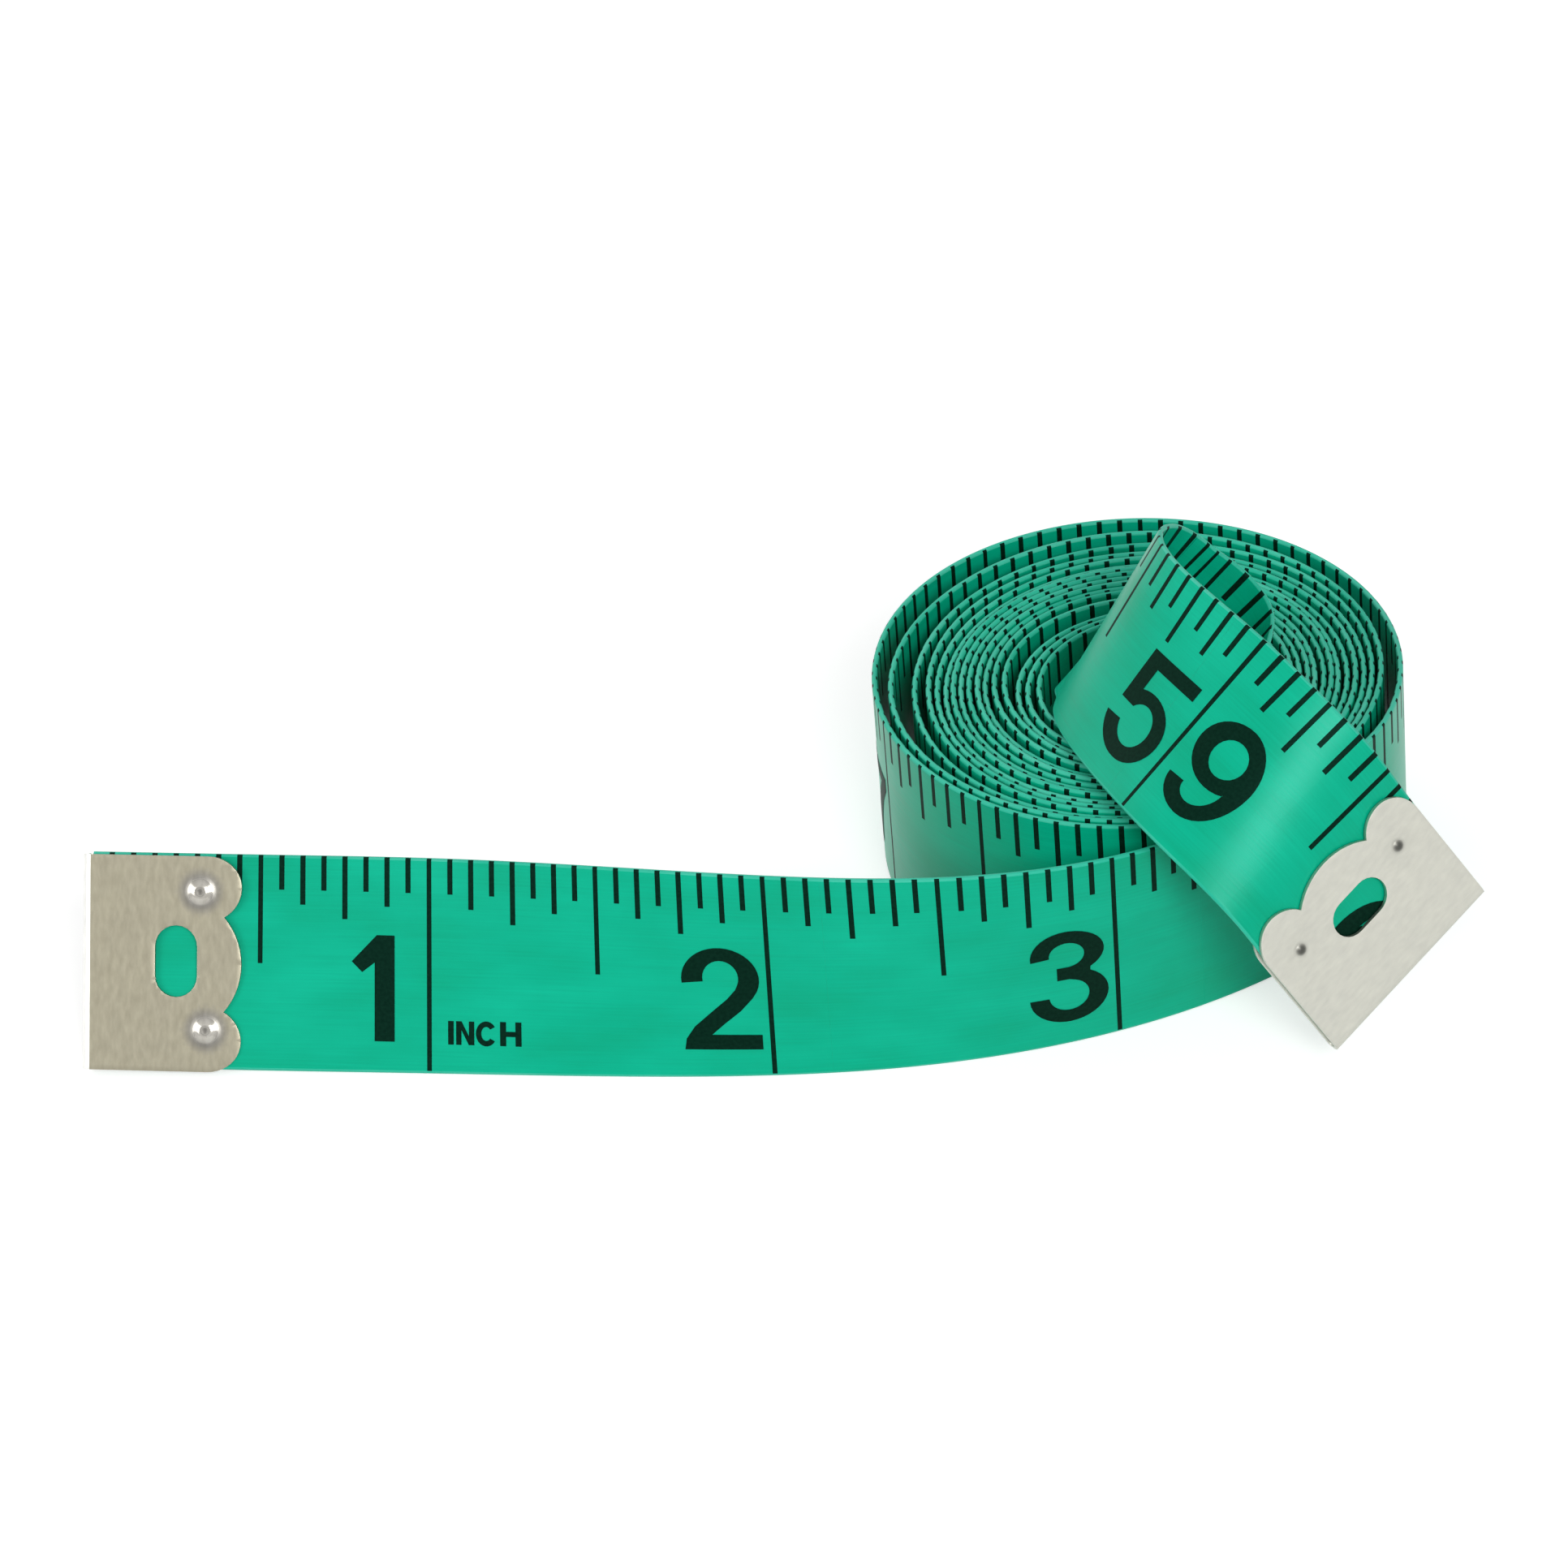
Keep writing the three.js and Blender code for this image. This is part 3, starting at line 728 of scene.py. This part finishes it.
def finished(material, node, settings):
    """The material with a shader that has these settings."""
    shader = node("ShaderNodeBsdfPrincipled", settings)
    node("ShaderNodeOutputMaterial", {"Surface": shader.outputs["BSDF"]})
    return material


def tape_material(name, roughness, dark, mid, pale):
    """Coated glass-fibre cloth: mottled colour, lengthwise fibres and a soft gloss."""
    material, node = new_material(name)
    mottle = streaks(node, MOTTLE_PACE).outputs["Fac"]
    fibre = streaks(node, FIBRE_PACE).outputs["Fac"]
    stops = [(0, linear(*dark)), (1, linear(*pale)), (0.5, linear(*mid))]
    colour = ramp(node, mottle, SOFT_SPAN, stops)
    lined = ramp(node, fibre, FIBRE_SPAN, [(0, FIBRE_DARK), (1, FIBRE_PALE)])
    rough = node("ShaderNodeMapRange", {
        "Value": fibre,
        "To Min": roughness - FIBRE_SMOOTHER,
        "To Max": roughness + FIBRE_ROUGHER,
    })
    relief = node("ShaderNodeBump", {"Height": fibre, **FIBRE_RELIEF})
    return finished(material, node, {
        "Base Color": multiplied(node, colour, lined),
        "Roughness": rough.outputs["Result"],
        "Normal": relief.outputs["Normal"],
        "Specular IOR Level": COAT_GLOSS,
        "Specular Tint": COAT_TINT,
    })


def ink_material(name):
    """Dull black print, a little uneven, with a slight sheen."""
    material, node = new_material(name)
    grain = streaks(node, INK_PACE, INK_DETAIL).outputs["Fac"]
    colour = ramp(node, grain, SOFT_SPAN, [(0, linear(*INK_DARK)), (1, linear(*INK_PALE))])
    return finished(material, node, {
        "Base Color": colour,
        "Roughness": INK_ROUGHNESS,
        "Specular IOR Level": INK_GLOSS,
        "Specular Tint": COAT_TINT,
    })


def metal_material(name, roughness, dark, pale):
    """Satin sheet metal, finely speckled, times the painted highlight and shade around the stakes that is
    kept with each point of the mesh.
    """
    material, node = new_material(name)
    place = node("ShaderNodeTexCoord").outputs["Object"]
    drawn = node("ShaderNodeMapping", {"Vector": place, "Scale": GRAIN_PACE}).outputs["Vector"]
    grain = node("ShaderNodeTexNoise", {"Vector": drawn, "Scale": 1, "Detail": METAL_DETAIL}).outputs["Fac"]
    cloud = node("ShaderNodeTexNoise", {"Vector": place, "Scale": CLOUD_PACE, "Detail": METAL_DETAIL})
    # The painted highlight and shade around the stakes, kept with each point of the mesh
    painted_light = node("ShaderNodeAttribute", attribute_name=PAINTED_LIGHT_ATTRIBUTE)
    fine = ramp(node, grain, GRAIN_SPAN, [(0, linear(*dark)), (1, linear(*pale))])
    soft = ramp(node, cloud.outputs["Fac"], SOFT_SPAN, [(0, CLOUD_TINT), (1, WHITE)])
    rough = node("ShaderNodeMapRange", {
        "Value": painted_light.outputs["Fac"],
        "From Min": BURNISHED_HIGHLIGHTS[0],
        "From Max": BURNISHED_HIGHLIGHTS[1],
        "To Min": roughness,
        "To Max": roughness * BURNISHED_SHARE,
    })
    relief = node("ShaderNodeBump", {"Height": grain, **METAL_RELIEF})
    return finished(material, node, {
        "Base Color": multiplied(node, multiplied(node, fine, soft), painted_light.outputs["Color"]),
        "Metallic": 1,
        "Roughness": rough.outputs["Result"],
        "Normal": relief.outputs["Normal"],
    })


# Materials: name, roughness, and colours from dark to pale as 0 to 255 on the screen
tape_green = tape_material("tape_green", 0.33, (0, 172, 132), (0, 180, 142), (4, 188, 150))
# The rims are paler than the faces: a painted highlight along the strip's rounded edges.
tape_rim_highlight = tape_material("tape_rim_highlight", 0.45, (36, 184, 152), (56, 194, 163), (80, 202, 174))
tape_ink = ink_material("tape_ink")
# Both clips are one metal: the start clip's darker colours and the end clip's paler ones are painted
# reflections of a dim room and of the lit floor.
start_metal_dim_reflection = metal_material("start_clip_metal", 0.4, (144, 139, 121), (161, 156, 137))
# The start clip's edge material is a painted highlight for its rounded edges and its fold; the end clip's
# edge material is darker.
start_edge_highlight = metal_material("start_clip_edge_highlight", 0.3, (232, 232, 226), (246, 246, 242))
end_metal_bright_reflection = metal_material("end_clip_metal", 0.42, (194, 194, 184), (204, 204, 193))
end_edge = metal_material("end_clip_edge", 0.45, (104, 92, 70), (136, 124, 100))


# Clips: one folded sheet each, with a window in both leaves and two stakes through the strip
CLIP_LENGTH = 11.9
CLIP_SHEET = 0.33
CLIP_GAP = 0.62
CLIP_OVERHANG = 0.55
CLIP_SINK = 0.17
LOBE_LENGTH = 2.5
LOBE_RISE = 2.25
NOTCH_SHARE = 0.28
LEAF_OFFSET = (CLIP_GAP + CLIP_SHEET) / 2
FOLD_LENGTH = math.pi * LEAF_OFFSET
LEAF_LENGTH = CLIP_LENGTH - LEAF_OFFSET - CLIP_SHEET / 2

# Each clip's window as width, height, reach from the fold and rise, and its stakes as reach and rise
START_WINDOW = (3.15, 5.3, 7.05, 0.2)
START_STAKES = ((8.85, 5.35), (9.3, -4.85))
END_WINDOW = (2.92, 4.96, 7.15, 0)
END_STAKES = ((8.35, 5.04), (8.35, -5.35))

# A stake is a dome with a pit on one leaf and a small pip on the other
DOME_RADIUS = 1.3
DOME_HEIGHT = 0.38
PIT_REACH = 0.224
PIT_DEPTH = 0.16
PIP_RADIUS = 0.5
PIP_HEIGHT = 0.16

# Painted light around a stake: distances from its middle, then tones of painted shade and highlight (a
# dark pit, a bright ring, a dark halo), and a cool tint of painted reflection that is full on the dome
# and fades out at its foot
DOME_PLACES = (0, 0.22, 0.4, 0.75, 1.05, 1.35, 1.8)
DOME_PAINTED_LIGHTS = (0.45, 0.6, 1.6, 1.5, 0.66, 0.72, 1)
PIP_PLACES = (0, 0.2, 0.34, 0.5, 0.75)
PIP_PAINTED_SHADE = (0.16, 0.2, 0.5, 0.85, 1)
DOME_PAINTED_REFLECTION_TINT = (0.97, 1, 1.2)
TINT_FULL_SHARE = 0.8

# Mesh of a clip: grid of the flat sheet, steps of the fold, rings around a stake, rounded edges, and how
# far from the outside of the fold the sheet has a painted highlight
SHEET_GRID = 0.4
FOLD_STEPS = 12
FOLD_MARGIN = 0.1
STAKE_SPREAD = 1.4
STAKE_RINGS = 9
STAKE_SPOKES = 20
EDGE_BEVEL = 0.15
EDGE_BEVEL_STEPS = 2
EDGE_BEVEL_ANGLE = math.radians(50)
FOLD_HIGHLIGHT_REACH = 0.75


def lobe_points():
    """The free end of a leaf, from its foot to its top: three rounded lobes between two notches."""
    notch = HALF_WIDTH - NOTCH_SHARE * TAPE_WIDTH
    lobe_middle = HALF_WIDTH - LOBE_RISE
    centre = (LEAF_LENGTH - LOBE_LENGTH, -lobe_middle)
    turn = math.asin((lobe_middle - notch) / LOBE_LENGTH)
    lower = arc(centre, (LOBE_LENGTH, LOBE_RISE), -90, 0, 11)
    lower += arc(centre, (LOBE_LENGTH, LOBE_LENGTH), 0, math.degrees(turn), 9)[1:]
    depth = LOBE_LENGTH * (1 - math.cos(turn))
    radius = (notch**2 + depth**2) / (2 * depth)
    half_turn = math.degrees(math.asin(notch / radius))
    middle = arc((LEAF_LENGTH - radius, 0), (radius, radius), -half_turn, half_turn, 15)
    upper = [(x, -y) for x, y in reversed(lower)]
    return lower + middle[1:-1] + upper


def clip_pattern(width, height, reach, rise):
    """The sheet before it is folded: both leaves and the fold between them, with their windows."""
    leaf = [(0, -HALF_WIDTH)] + lobe_points() + [(0, HALF_WIDTH)]
    mirrored = [(-FOLD_LENGTH - x, y) for x, y in reversed(leaf)]
    fold = [-FOLD_LENGTH * step / FOLD_STEPS for step in range(1, FOLD_STEPS)]
    outline = leaf + [(x, HALF_WIDTH) for x in fold] + mirrored + [(x, -HALF_WIDTH) for x in reversed(fold)]
    straight = (height - width) / 2
    half = width / 2
    reach -= LEAF_OFFSET + CLIP_SHEET / 2
    window = arc((reach, rise + straight), (half, half), 0, 180, 13)
    window += arc((reach, rise - straight), (half, half), 180, 360, 13)
    windows = [window, [(-FOLD_LENGTH - x, y) for x, y in window]]
    return outline, windows


def bump_height(distance, dome):
    """How far a stake lifts its leaf, at a distance from the stake's middle."""
    radius, height = (DOME_RADIUS, DOME_HEIGHT) if dome else (PIP_RADIUS, PIP_HEIGHT)
    lifted = height * 0.5 * (1 + math.cos(math.pi * min(distance / radius, 1)))
    pit = PIT_DEPTH * math.exp(-((distance / PIT_REACH) ** 2)) if dome else 0
    return lifted - pit


def stakes_on_sheet(stake_places):
    """Middles of the stakes on both leaves of the flat sheet, and whether the dome is there."""
    stakes = []
    for reach, rise in stake_places:
        reach -= LEAF_OFFSET + CLIP_SHEET / 2
        stakes.append((reach, rise, True))
        stakes.append((-FOLD_LENGTH - reach, rise, False))
    return stakes


def stake_distance(x, y, stake):
    """How far a place on the flat sheet is from a stake's middle."""
    return math.hypot(x - stake[0], y - stake[1])


def stake_rings(stakes):
    """Points in rings around each stake, and its middle."""
    points = []
    for x, y, dome in stakes:
        radius = DOME_RADIUS if dome else PIP_RADIUS
        for ring in range(1, STAKE_RINGS + 1):
            for turn in range(STAKE_SPOKES):
                angle = 2 * math.pi * (turn + ring / 2) / STAKE_SPOKES
                spread = radius * STAKE_SPREAD * ring / STAKE_RINGS
                points.append(Vector((x + spread * math.cos(angle), y + spread * math.sin(angle))))
        points.append(Vector((x, y)))
    return points


def sheet_grid(outline, stakes):
    """Points over the flat sheet, clear of the stakes, and closer in the fold."""
    points = []
    leaves = np.arange(-FOLD_LENGTH - LEAF_LENGTH, LEAF_LENGTH, SHEET_GRID)
    leaves = [x for x in leaves if x < -FOLD_LENGTH - FOLD_MARGIN or x > FOLD_MARGIN]
    for x in [*leaves, *np.linspace(-FOLD_LENGTH, 0, FOLD_STEPS + 1)]:
        for y in np.arange(-HALF_WIDTH + SHEET_GRID, HALF_WIDTH - SHEET_GRID / 2, SHEET_GRID):
            near = min(stake_distance(x, y, stake) for stake in stakes)
            if near > DOME_RADIUS * STAKE_SPREAD and inside((x, y), [outline]):
                points.append(Vector((x, y)))
    return points


def stake_tone(distance, dome):
    """The painted highlight and shade of the metal at a distance from a stake's middle, as a colour."""
    if dome:
        painted_light = np.interp(distance, DOME_PLACES, DOME_PAINTED_LIGHTS)
        painted_reflection_share = np.interp(distance, (DOME_RADIUS * TINT_FULL_SHARE, DOME_RADIUS * STAKE_SPREAD), (1, 0))
    else:
        painted_light = np.interp(distance, PIP_PLACES, PIP_PAINTED_SHADE)
        painted_reflection_share = 0
    return [painted_light * (1 + painted_reflection_share * (channel - 1)) for channel in DOME_PAINTED_REFLECTION_TINT] + [1]


def folded(point, lift):
    """Where a point of the flat sheet lies on the folded clip, in metres from the fold's outside."""
    if point.x >= 0:
        x = point.x
        z = LEAF_OFFSET + lift
    elif point.x >= -FOLD_LENGTH:
        turned = -point.x / LEAF_OFFSET
        x = -LEAF_OFFSET * math.sin(turned)
        z = LEAF_OFFSET * math.cos(turned)
    else:
        x = -FOLD_LENGTH - point.x
        z = -LEAF_OFFSET - lift
    return Vector((x + LEAF_OFFSET + CLIP_SHEET / 2, point.y, z)) * MM


def clip_object(name, placing, window, stake_places, finishes, fold_highlight):
    """A folded clip. Its first leaf, with the domes, is on the side of the placing's third axis."""
    outline, openings = clip_pattern(*window)
    vertices = [Vector(point) for point in outline]
    faces = [list(range(len(outline)))]
    edges = []
    for opening in openings:
        base = len(vertices)
        vertices.extend(Vector(point) for point in opening)
        edges.extend((base + i, base + (i + 1) % len(opening)) for i in range(len(opening)))
    stakes = stakes_on_sheet(stake_places)
    vertices += stake_rings(stakes) + sheet_grid(outline, stakes)
    points, _, triangles, *_ = delaunay_2d_cdt(vertices, edges, faces, 1, WELD_DISTANCE)
    kept = []
    for triangle in triangles:
        centre = sum((points[i] for i in triangle), Vector((0, 0))) / 3
        if not inside(centre, openings):
            kept.append(triangle)
    # Each point keeps the painted highlight and shade of the stake nearest to it.
    placed = []
    painted_lights = []
    for point in points:
        near = min(stakes, key=lambda stake: stake_distance(point.x, point.y, stake))
        distance = stake_distance(point.x, point.y, near)
        placed.append(folded(point, bump_height(distance, near[2])))
        painted_lights.extend(stake_tone(distance, near[2]))
    mesh = bpy.data.meshes.new(name)
    mesh.from_pydata(placed, [], kept)
    mesh.attributes.new(PAINTED_LIGHT_ATTRIBUTE, "FLOAT_COLOR", "POINT").data.foreach_set("color", painted_lights)
    made = bmesh.new()
    made.from_mesh(mesh)
    bmesh.ops.delete(made, geom=[v for v in made.verts if not v.link_faces], context="VERTS")
    bmesh.ops.recalc_face_normals(made, faces=made.faces)
    made.to_mesh(mesh)
    made.free()
    mesh.polygons.foreach_set("use_smooth", [True] * len(mesh.polygons))
    piece = bpy.data.objects.new(name, mesh)
    bpy.context.collection.objects.link(piece)
    piece.matrix_world = placing
    thick = piece.modifiers.new("sheet", "SOLIDIFY")
    thick.thickness = CLIP_SHEET * MM
    thick.offset = 0
    # The rounded edges take the second material: a painted highlight on the start clip, darker faces on the
    # end clip.
    soft = piece.modifiers.new("rounded_edges", "BEVEL")
    soft.width = EDGE_BEVEL * MM
    soft.material = 1
    soft.segments = EDGE_BEVEL_STEPS
    soft.limit_method = "ANGLE"
    soft.angle_limit = EDGE_BEVEL_ANGLE
    for finish in finishes:
        mesh.materials.append(finish)
    # On the start clip the fold takes the second material too, as a painted highlight.
    for face in mesh.polygons:
        in_fold = all(mesh.vertices[corner].co.x < FOLD_HIGHLIGHT_REACH * MM for corner in face.vertices)
        face.material_index = 1 if fold_highlight and in_fold else 0
    return piece


def clip_placing(place, inwards, domed):
    """Where a clip's fold lies on the strip. Its leaves run up (1) or down (-1) the scale, and its domes
    are on the front (1) or the back (-1) of the strip."""
    middle, along, across, out = (vector[0] for vector in route.frames([place]))
    x = along * inwards
    z = out * domed
    y = np.cross(z, x)
    placing = Matrix.Identity(4)
    for row in range(3):
        placing[row][0] = x[row]
        placing[row][1] = y[row]
        placing[row][2] = z[row]
        placing[row][3] = (middle[row] - across[row] * CLIP_SINK) * MM
    return placing


def hidden_in_coil(face, place):
    """Whether a sign is between two turns of the winding, where no view can reach it."""
    turn_end = OUTER_TURN_END if face == "front" else OUTER_TURN_BACK_END
    return turn_end < place < BORE_TURN_START


def hinge_place(joint_name):
    """Where the CAD part has a joint's hinge line, in metres."""
    joints = frame["record"]["behaviour"]["joints"]
    return next(joint["pos_m"] for joint in joints if joint["name"] == joint_name)


def way_near(joint_name, low, high):
    """The strip's direction where it passes a hinge, which is looked for between two places."""
    middle, along, _, _ = route.frames(np.arange(low, high, HINGE_SEARCH_STEP))
    gaps = np.linalg.norm(middle * MM - np.array(hinge_place(joint_name)), axis=1)
    return along[np.argmin(gaps)]


def blend_over(piece):
    """Bakes a length of strip's placing into its mesh, without bending it."""
    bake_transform(piece)


# Strip, in five lengths that meet beside the hinge lines: piece, first and last place, and CAD node
PARTS = [
    ("tape_wound", COIL_LEAD_PLACE, COIL_TAIL_PLACE, "tape_coil"),
    ("tape_lead_cloth", LEAD_SPLIT_PLACE, COIL_LEAD_PLACE, "tape_lead"),
    ("tape_lead_end_cloth", SCALE_START, LEAD_SPLIT_PLACE, "tape_lead_end"),
    ("tape_tail_cloth", COIL_TAIL_PLACE, TAIL_SPLIT_PLACE, "tape_tail"),
    ("tape_tail_end_cloth", TAIL_SPLIT_PLACE, SCALE_LENGTH - SCALE_START, "tape_tail_end"),
]
strips = {}
for name, first, last, node_name in PARTS:
    strip = mesh_object(name, *strip_parts(first, last), (tape_green, tape_rim_highlight, tape_ink))
    marks, mark_faces, mark_flats = print_parts(first, last, hidden_in_coil)
    mark = mesh_object(name + "_numbers", marks, mark_faces, [0] * len(mark_faces), mark_flats, (tape_ink,))
    strips[node_name] = (strip, mark)
    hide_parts(node_name)

for piece in strips["tape_coil"]:
    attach(piece, "coil")

# Joints of the strip: CAD node, joint, the two bodies that it joins, reach of the bend, whether the way
# from the first body to the second runs up or down the scale, and the places between which the hinge lies.
# The pieces are only baked in place, and towards is the way along the strip from the first body.
UP_SCALE = 1
DOWN_SCALE = -1
SWING_PLACES = (40, 90)
CURL_PLACES = (20, 60)
LIFT_PLACES = (SCALE_LENGTH - 50, SCALE_LENGTH - 20)
FOLD_PLACES = (SCALE_LENGTH - 30, SCALE_LENGTH - 10)
BENDS = [
    ("tape_lead", "lead_swing", "coil", "lead", LEAD_BEND_REACH, DOWN_SCALE, SWING_PLACES),
    ("tape_lead_end", "lead_curl", "lead", "lead_end", LEAD_BEND_REACH, DOWN_SCALE, CURL_PLACES),
    ("tape_tail", "tail_lift", "coil", "tail", TAIL_BEND_REACH, UP_SCALE, LIFT_PLACES),
    ("tape_tail_end", "tail_fold", "tail", "tail_end", TAIL_BEND_REACH, UP_SCALE, FOLD_PLACES),
]
for node_name, joint_name, first_body, second_body, reach, scale_way, places in BENDS:
    towards = scale_way * way_near(joint_name, *places)
    for piece in strips[node_name]:
        blend_over(piece)

# Clips: the start clip shows its domes in front, and the end clip shows the other side
start_clip = clip_object(
    "start_clip_metal",
    clip_placing(-CLIP_OVERHANG, 1, 1),
    START_WINDOW,
    START_STAKES,
    (start_metal_dim_reflection, start_edge_highlight),
    True,
)
end_clip = clip_object(
    "end_clip_metal",
    clip_placing(SCALE_LENGTH + CLIP_OVERHANG, -1, -1),
    END_WINDOW,
    END_STAKES,
    (end_metal_bright_reflection, end_edge),
    False,
)
for clip, node_name, body in ((start_clip, "start_clip", "lead_end"), (end_clip, "end_clip", "tail_end")):
    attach(clip, body)
    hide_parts(node_name)


# Floor and world, which these rays see as white where nothing shades them. The floor's half size is in
# metres, and it lies a little below the part, in millimetres.
SEEN_BY = ("Is Camera Ray", "Is Glossy Ray", "Is Transmission Ray")
FLOOR_COLOUR = (0.7, 0.7, 0.7, 1)
FLOOR_GLOW = 0.58
FLOOR_HALF = 3
FLOOR_DROP = 0.05
WORLD_LIGHT = 0.34


def any_of(node, rays, kinds):
    """A value that is one for rays of any of these kinds."""
    value = rays.outputs[kinds[0]]
    for kind in kinds[1:]:
        value = node("ShaderNodeMath", {0: value, 1: rays.outputs[kind]}, operation="MAXIMUM").outputs[0]
    return value


def floor_material():
    """Pale floor that keeps shadows and glows up to white."""
    material, node = new_material("floor_white")
    rays = node("ShaderNodeLightPath")
    seen = any_of(node, rays, SEEN_BY)
    diffuse = node("ShaderNodeBsdfDiffuse", {"Color": FLOOR_COLOUR})
    glow = node("ShaderNodeEmission", {"Color": WHITE, "Strength": FLOOR_GLOW})
    lifted = node("ShaderNodeAddShader")
    tree = material.node_tree
    tree.links.new(diffuse.outputs["BSDF"], lifted.inputs[0])
    tree.links.new(glow.outputs["Emission"], lifted.inputs[1])
    mixed = node("ShaderNodeMixShader", {"Fac": seen})
    tree.links.new(diffuse.outputs["BSDF"], mixed.inputs[1])
    tree.links.new(lifted.outputs["Shader"], mixed.inputs[2])
    node("ShaderNodeOutputMaterial", {"Surface": mixed.outputs["Shader"]})
    return material


floor_mesh = bpy.data.meshes.new("floor")
corners = [(x * FLOOR_HALF, y * FLOOR_HALF, 0) for x, y in ((-1, -1), (1, -1), (1, 1), (-1, 1))]
floor_mesh.from_pydata(corners, [], [(0, 1, 2, 3)])
floor = bpy.data.objects.new("floor", floor_mesh)
floor.location.z = -FLOOR_DROP * MM
floor_mesh.materials.append(floor_material())
bpy.context.collection.objects.link(floor)


def world_light():
    """An even pale world that shows white."""
    world = bpy.data.worlds.new("studio")
    bpy.context.scene.world = world
    world.use_nodes = True
    world.node_tree.nodes.clear()
    node = node_adder(world.node_tree)
    rays = node("ShaderNodeLightPath")
    plain = node("ShaderNodeBackground", {"Color": WHITE, "Strength": WORLD_LIGHT})
    shown = node("ShaderNodeBackground", {"Color": WHITE, "Strength": 1})
    mixed = node("ShaderNodeMixShader", {"Fac": any_of(node, rays, SEEN_BY)})
    links = world.node_tree.links
    links.new(plain.outputs["Background"], mixed.inputs[1])
    links.new(shown.outputs["Background"], mixed.inputs[2])
    node("ShaderNodeOutputWorld", {"Surface": mixed.outputs["Shader"]})


# Lamps: place and size in metres, and power in watts
LAMPS = {
    "key": ((0.17, -0.62, 0.48), 0.3, 3.1),
    "side": ((-0.62, -0.36, 0.34), 0.4, 1.4),
    "back": ((-0.35, 0.75, 0.6), 0.6, 2),
}
LAMP_TARGET = (0.02, 0, 0.01)


def soft_lamp(name, place, size, power):
    """A square area lamp that points at the part."""
    data = bpy.data.lights.new(name, "AREA")
    data.shape = "SQUARE"
    data.size = size
    data.energy = power
    lamp = bpy.data.objects.new(name, data)
    bpy.context.collection.objects.link(lamp)
    lamp.location = place
    lamp.rotation_mode = "QUATERNION"
    lamp.rotation_quaternion = (Vector(LAMP_TARGET) - Vector(place)).to_track_quat("-Z", "Y")


world_light()
for name, (place, size, power) in LAMPS.items():
    soft_lamp(name, place, size, power)

# Camera, at the photograph's distance, height and slight roll: its place is from the coil's axis, and
# its clipping distances are in metres
CAMERA_OFFSET = (-27.1, -431, 324.4)
CAMERA_PLACE = (Vector(COIL_AXIS) + Vector(CAMERA_OFFSET)) * MM
CAMERA_DOWN = math.radians(36.25)
CAMERA_ROLL = math.radians(5.05)
CAMERA_LENS = 163.86
CAMERA_SENSOR = 36
CAMERA_NEAR = 0.01
CAMERA_FAR = 20
camera_data = bpy.data.cameras.new("camera")
camera_data.sensor_width = CAMERA_SENSOR
camera_data.lens = CAMERA_LENS
camera_data.clip_start = CAMERA_NEAR
camera_data.clip_end = CAMERA_FAR
camera = bpy.data.objects.new("camera", camera_data)
bpy.context.collection.objects.link(camera)
forward = Vector((0, math.cos(CAMERA_DOWN), -math.sin(CAMERA_DOWN)))
upward = Vector((0, math.sin(CAMERA_DOWN), math.cos(CAMERA_DOWN)))
right = Vector((1, 0, 0))
camera_right = right * math.cos(CAMERA_ROLL) - upward * math.sin(CAMERA_ROLL)
camera_up = right * math.sin(CAMERA_ROLL) + upward * math.cos(CAMERA_ROLL)
turned = Matrix((camera_right, camera_up, -forward)).transposed().to_4x4()
camera.matrix_world = Matrix.Translation(CAMERA_PLACE) @ turned
bpy.context.scene.camera = camera
bpy.context.scene.view_settings.view_transform = "Standard"
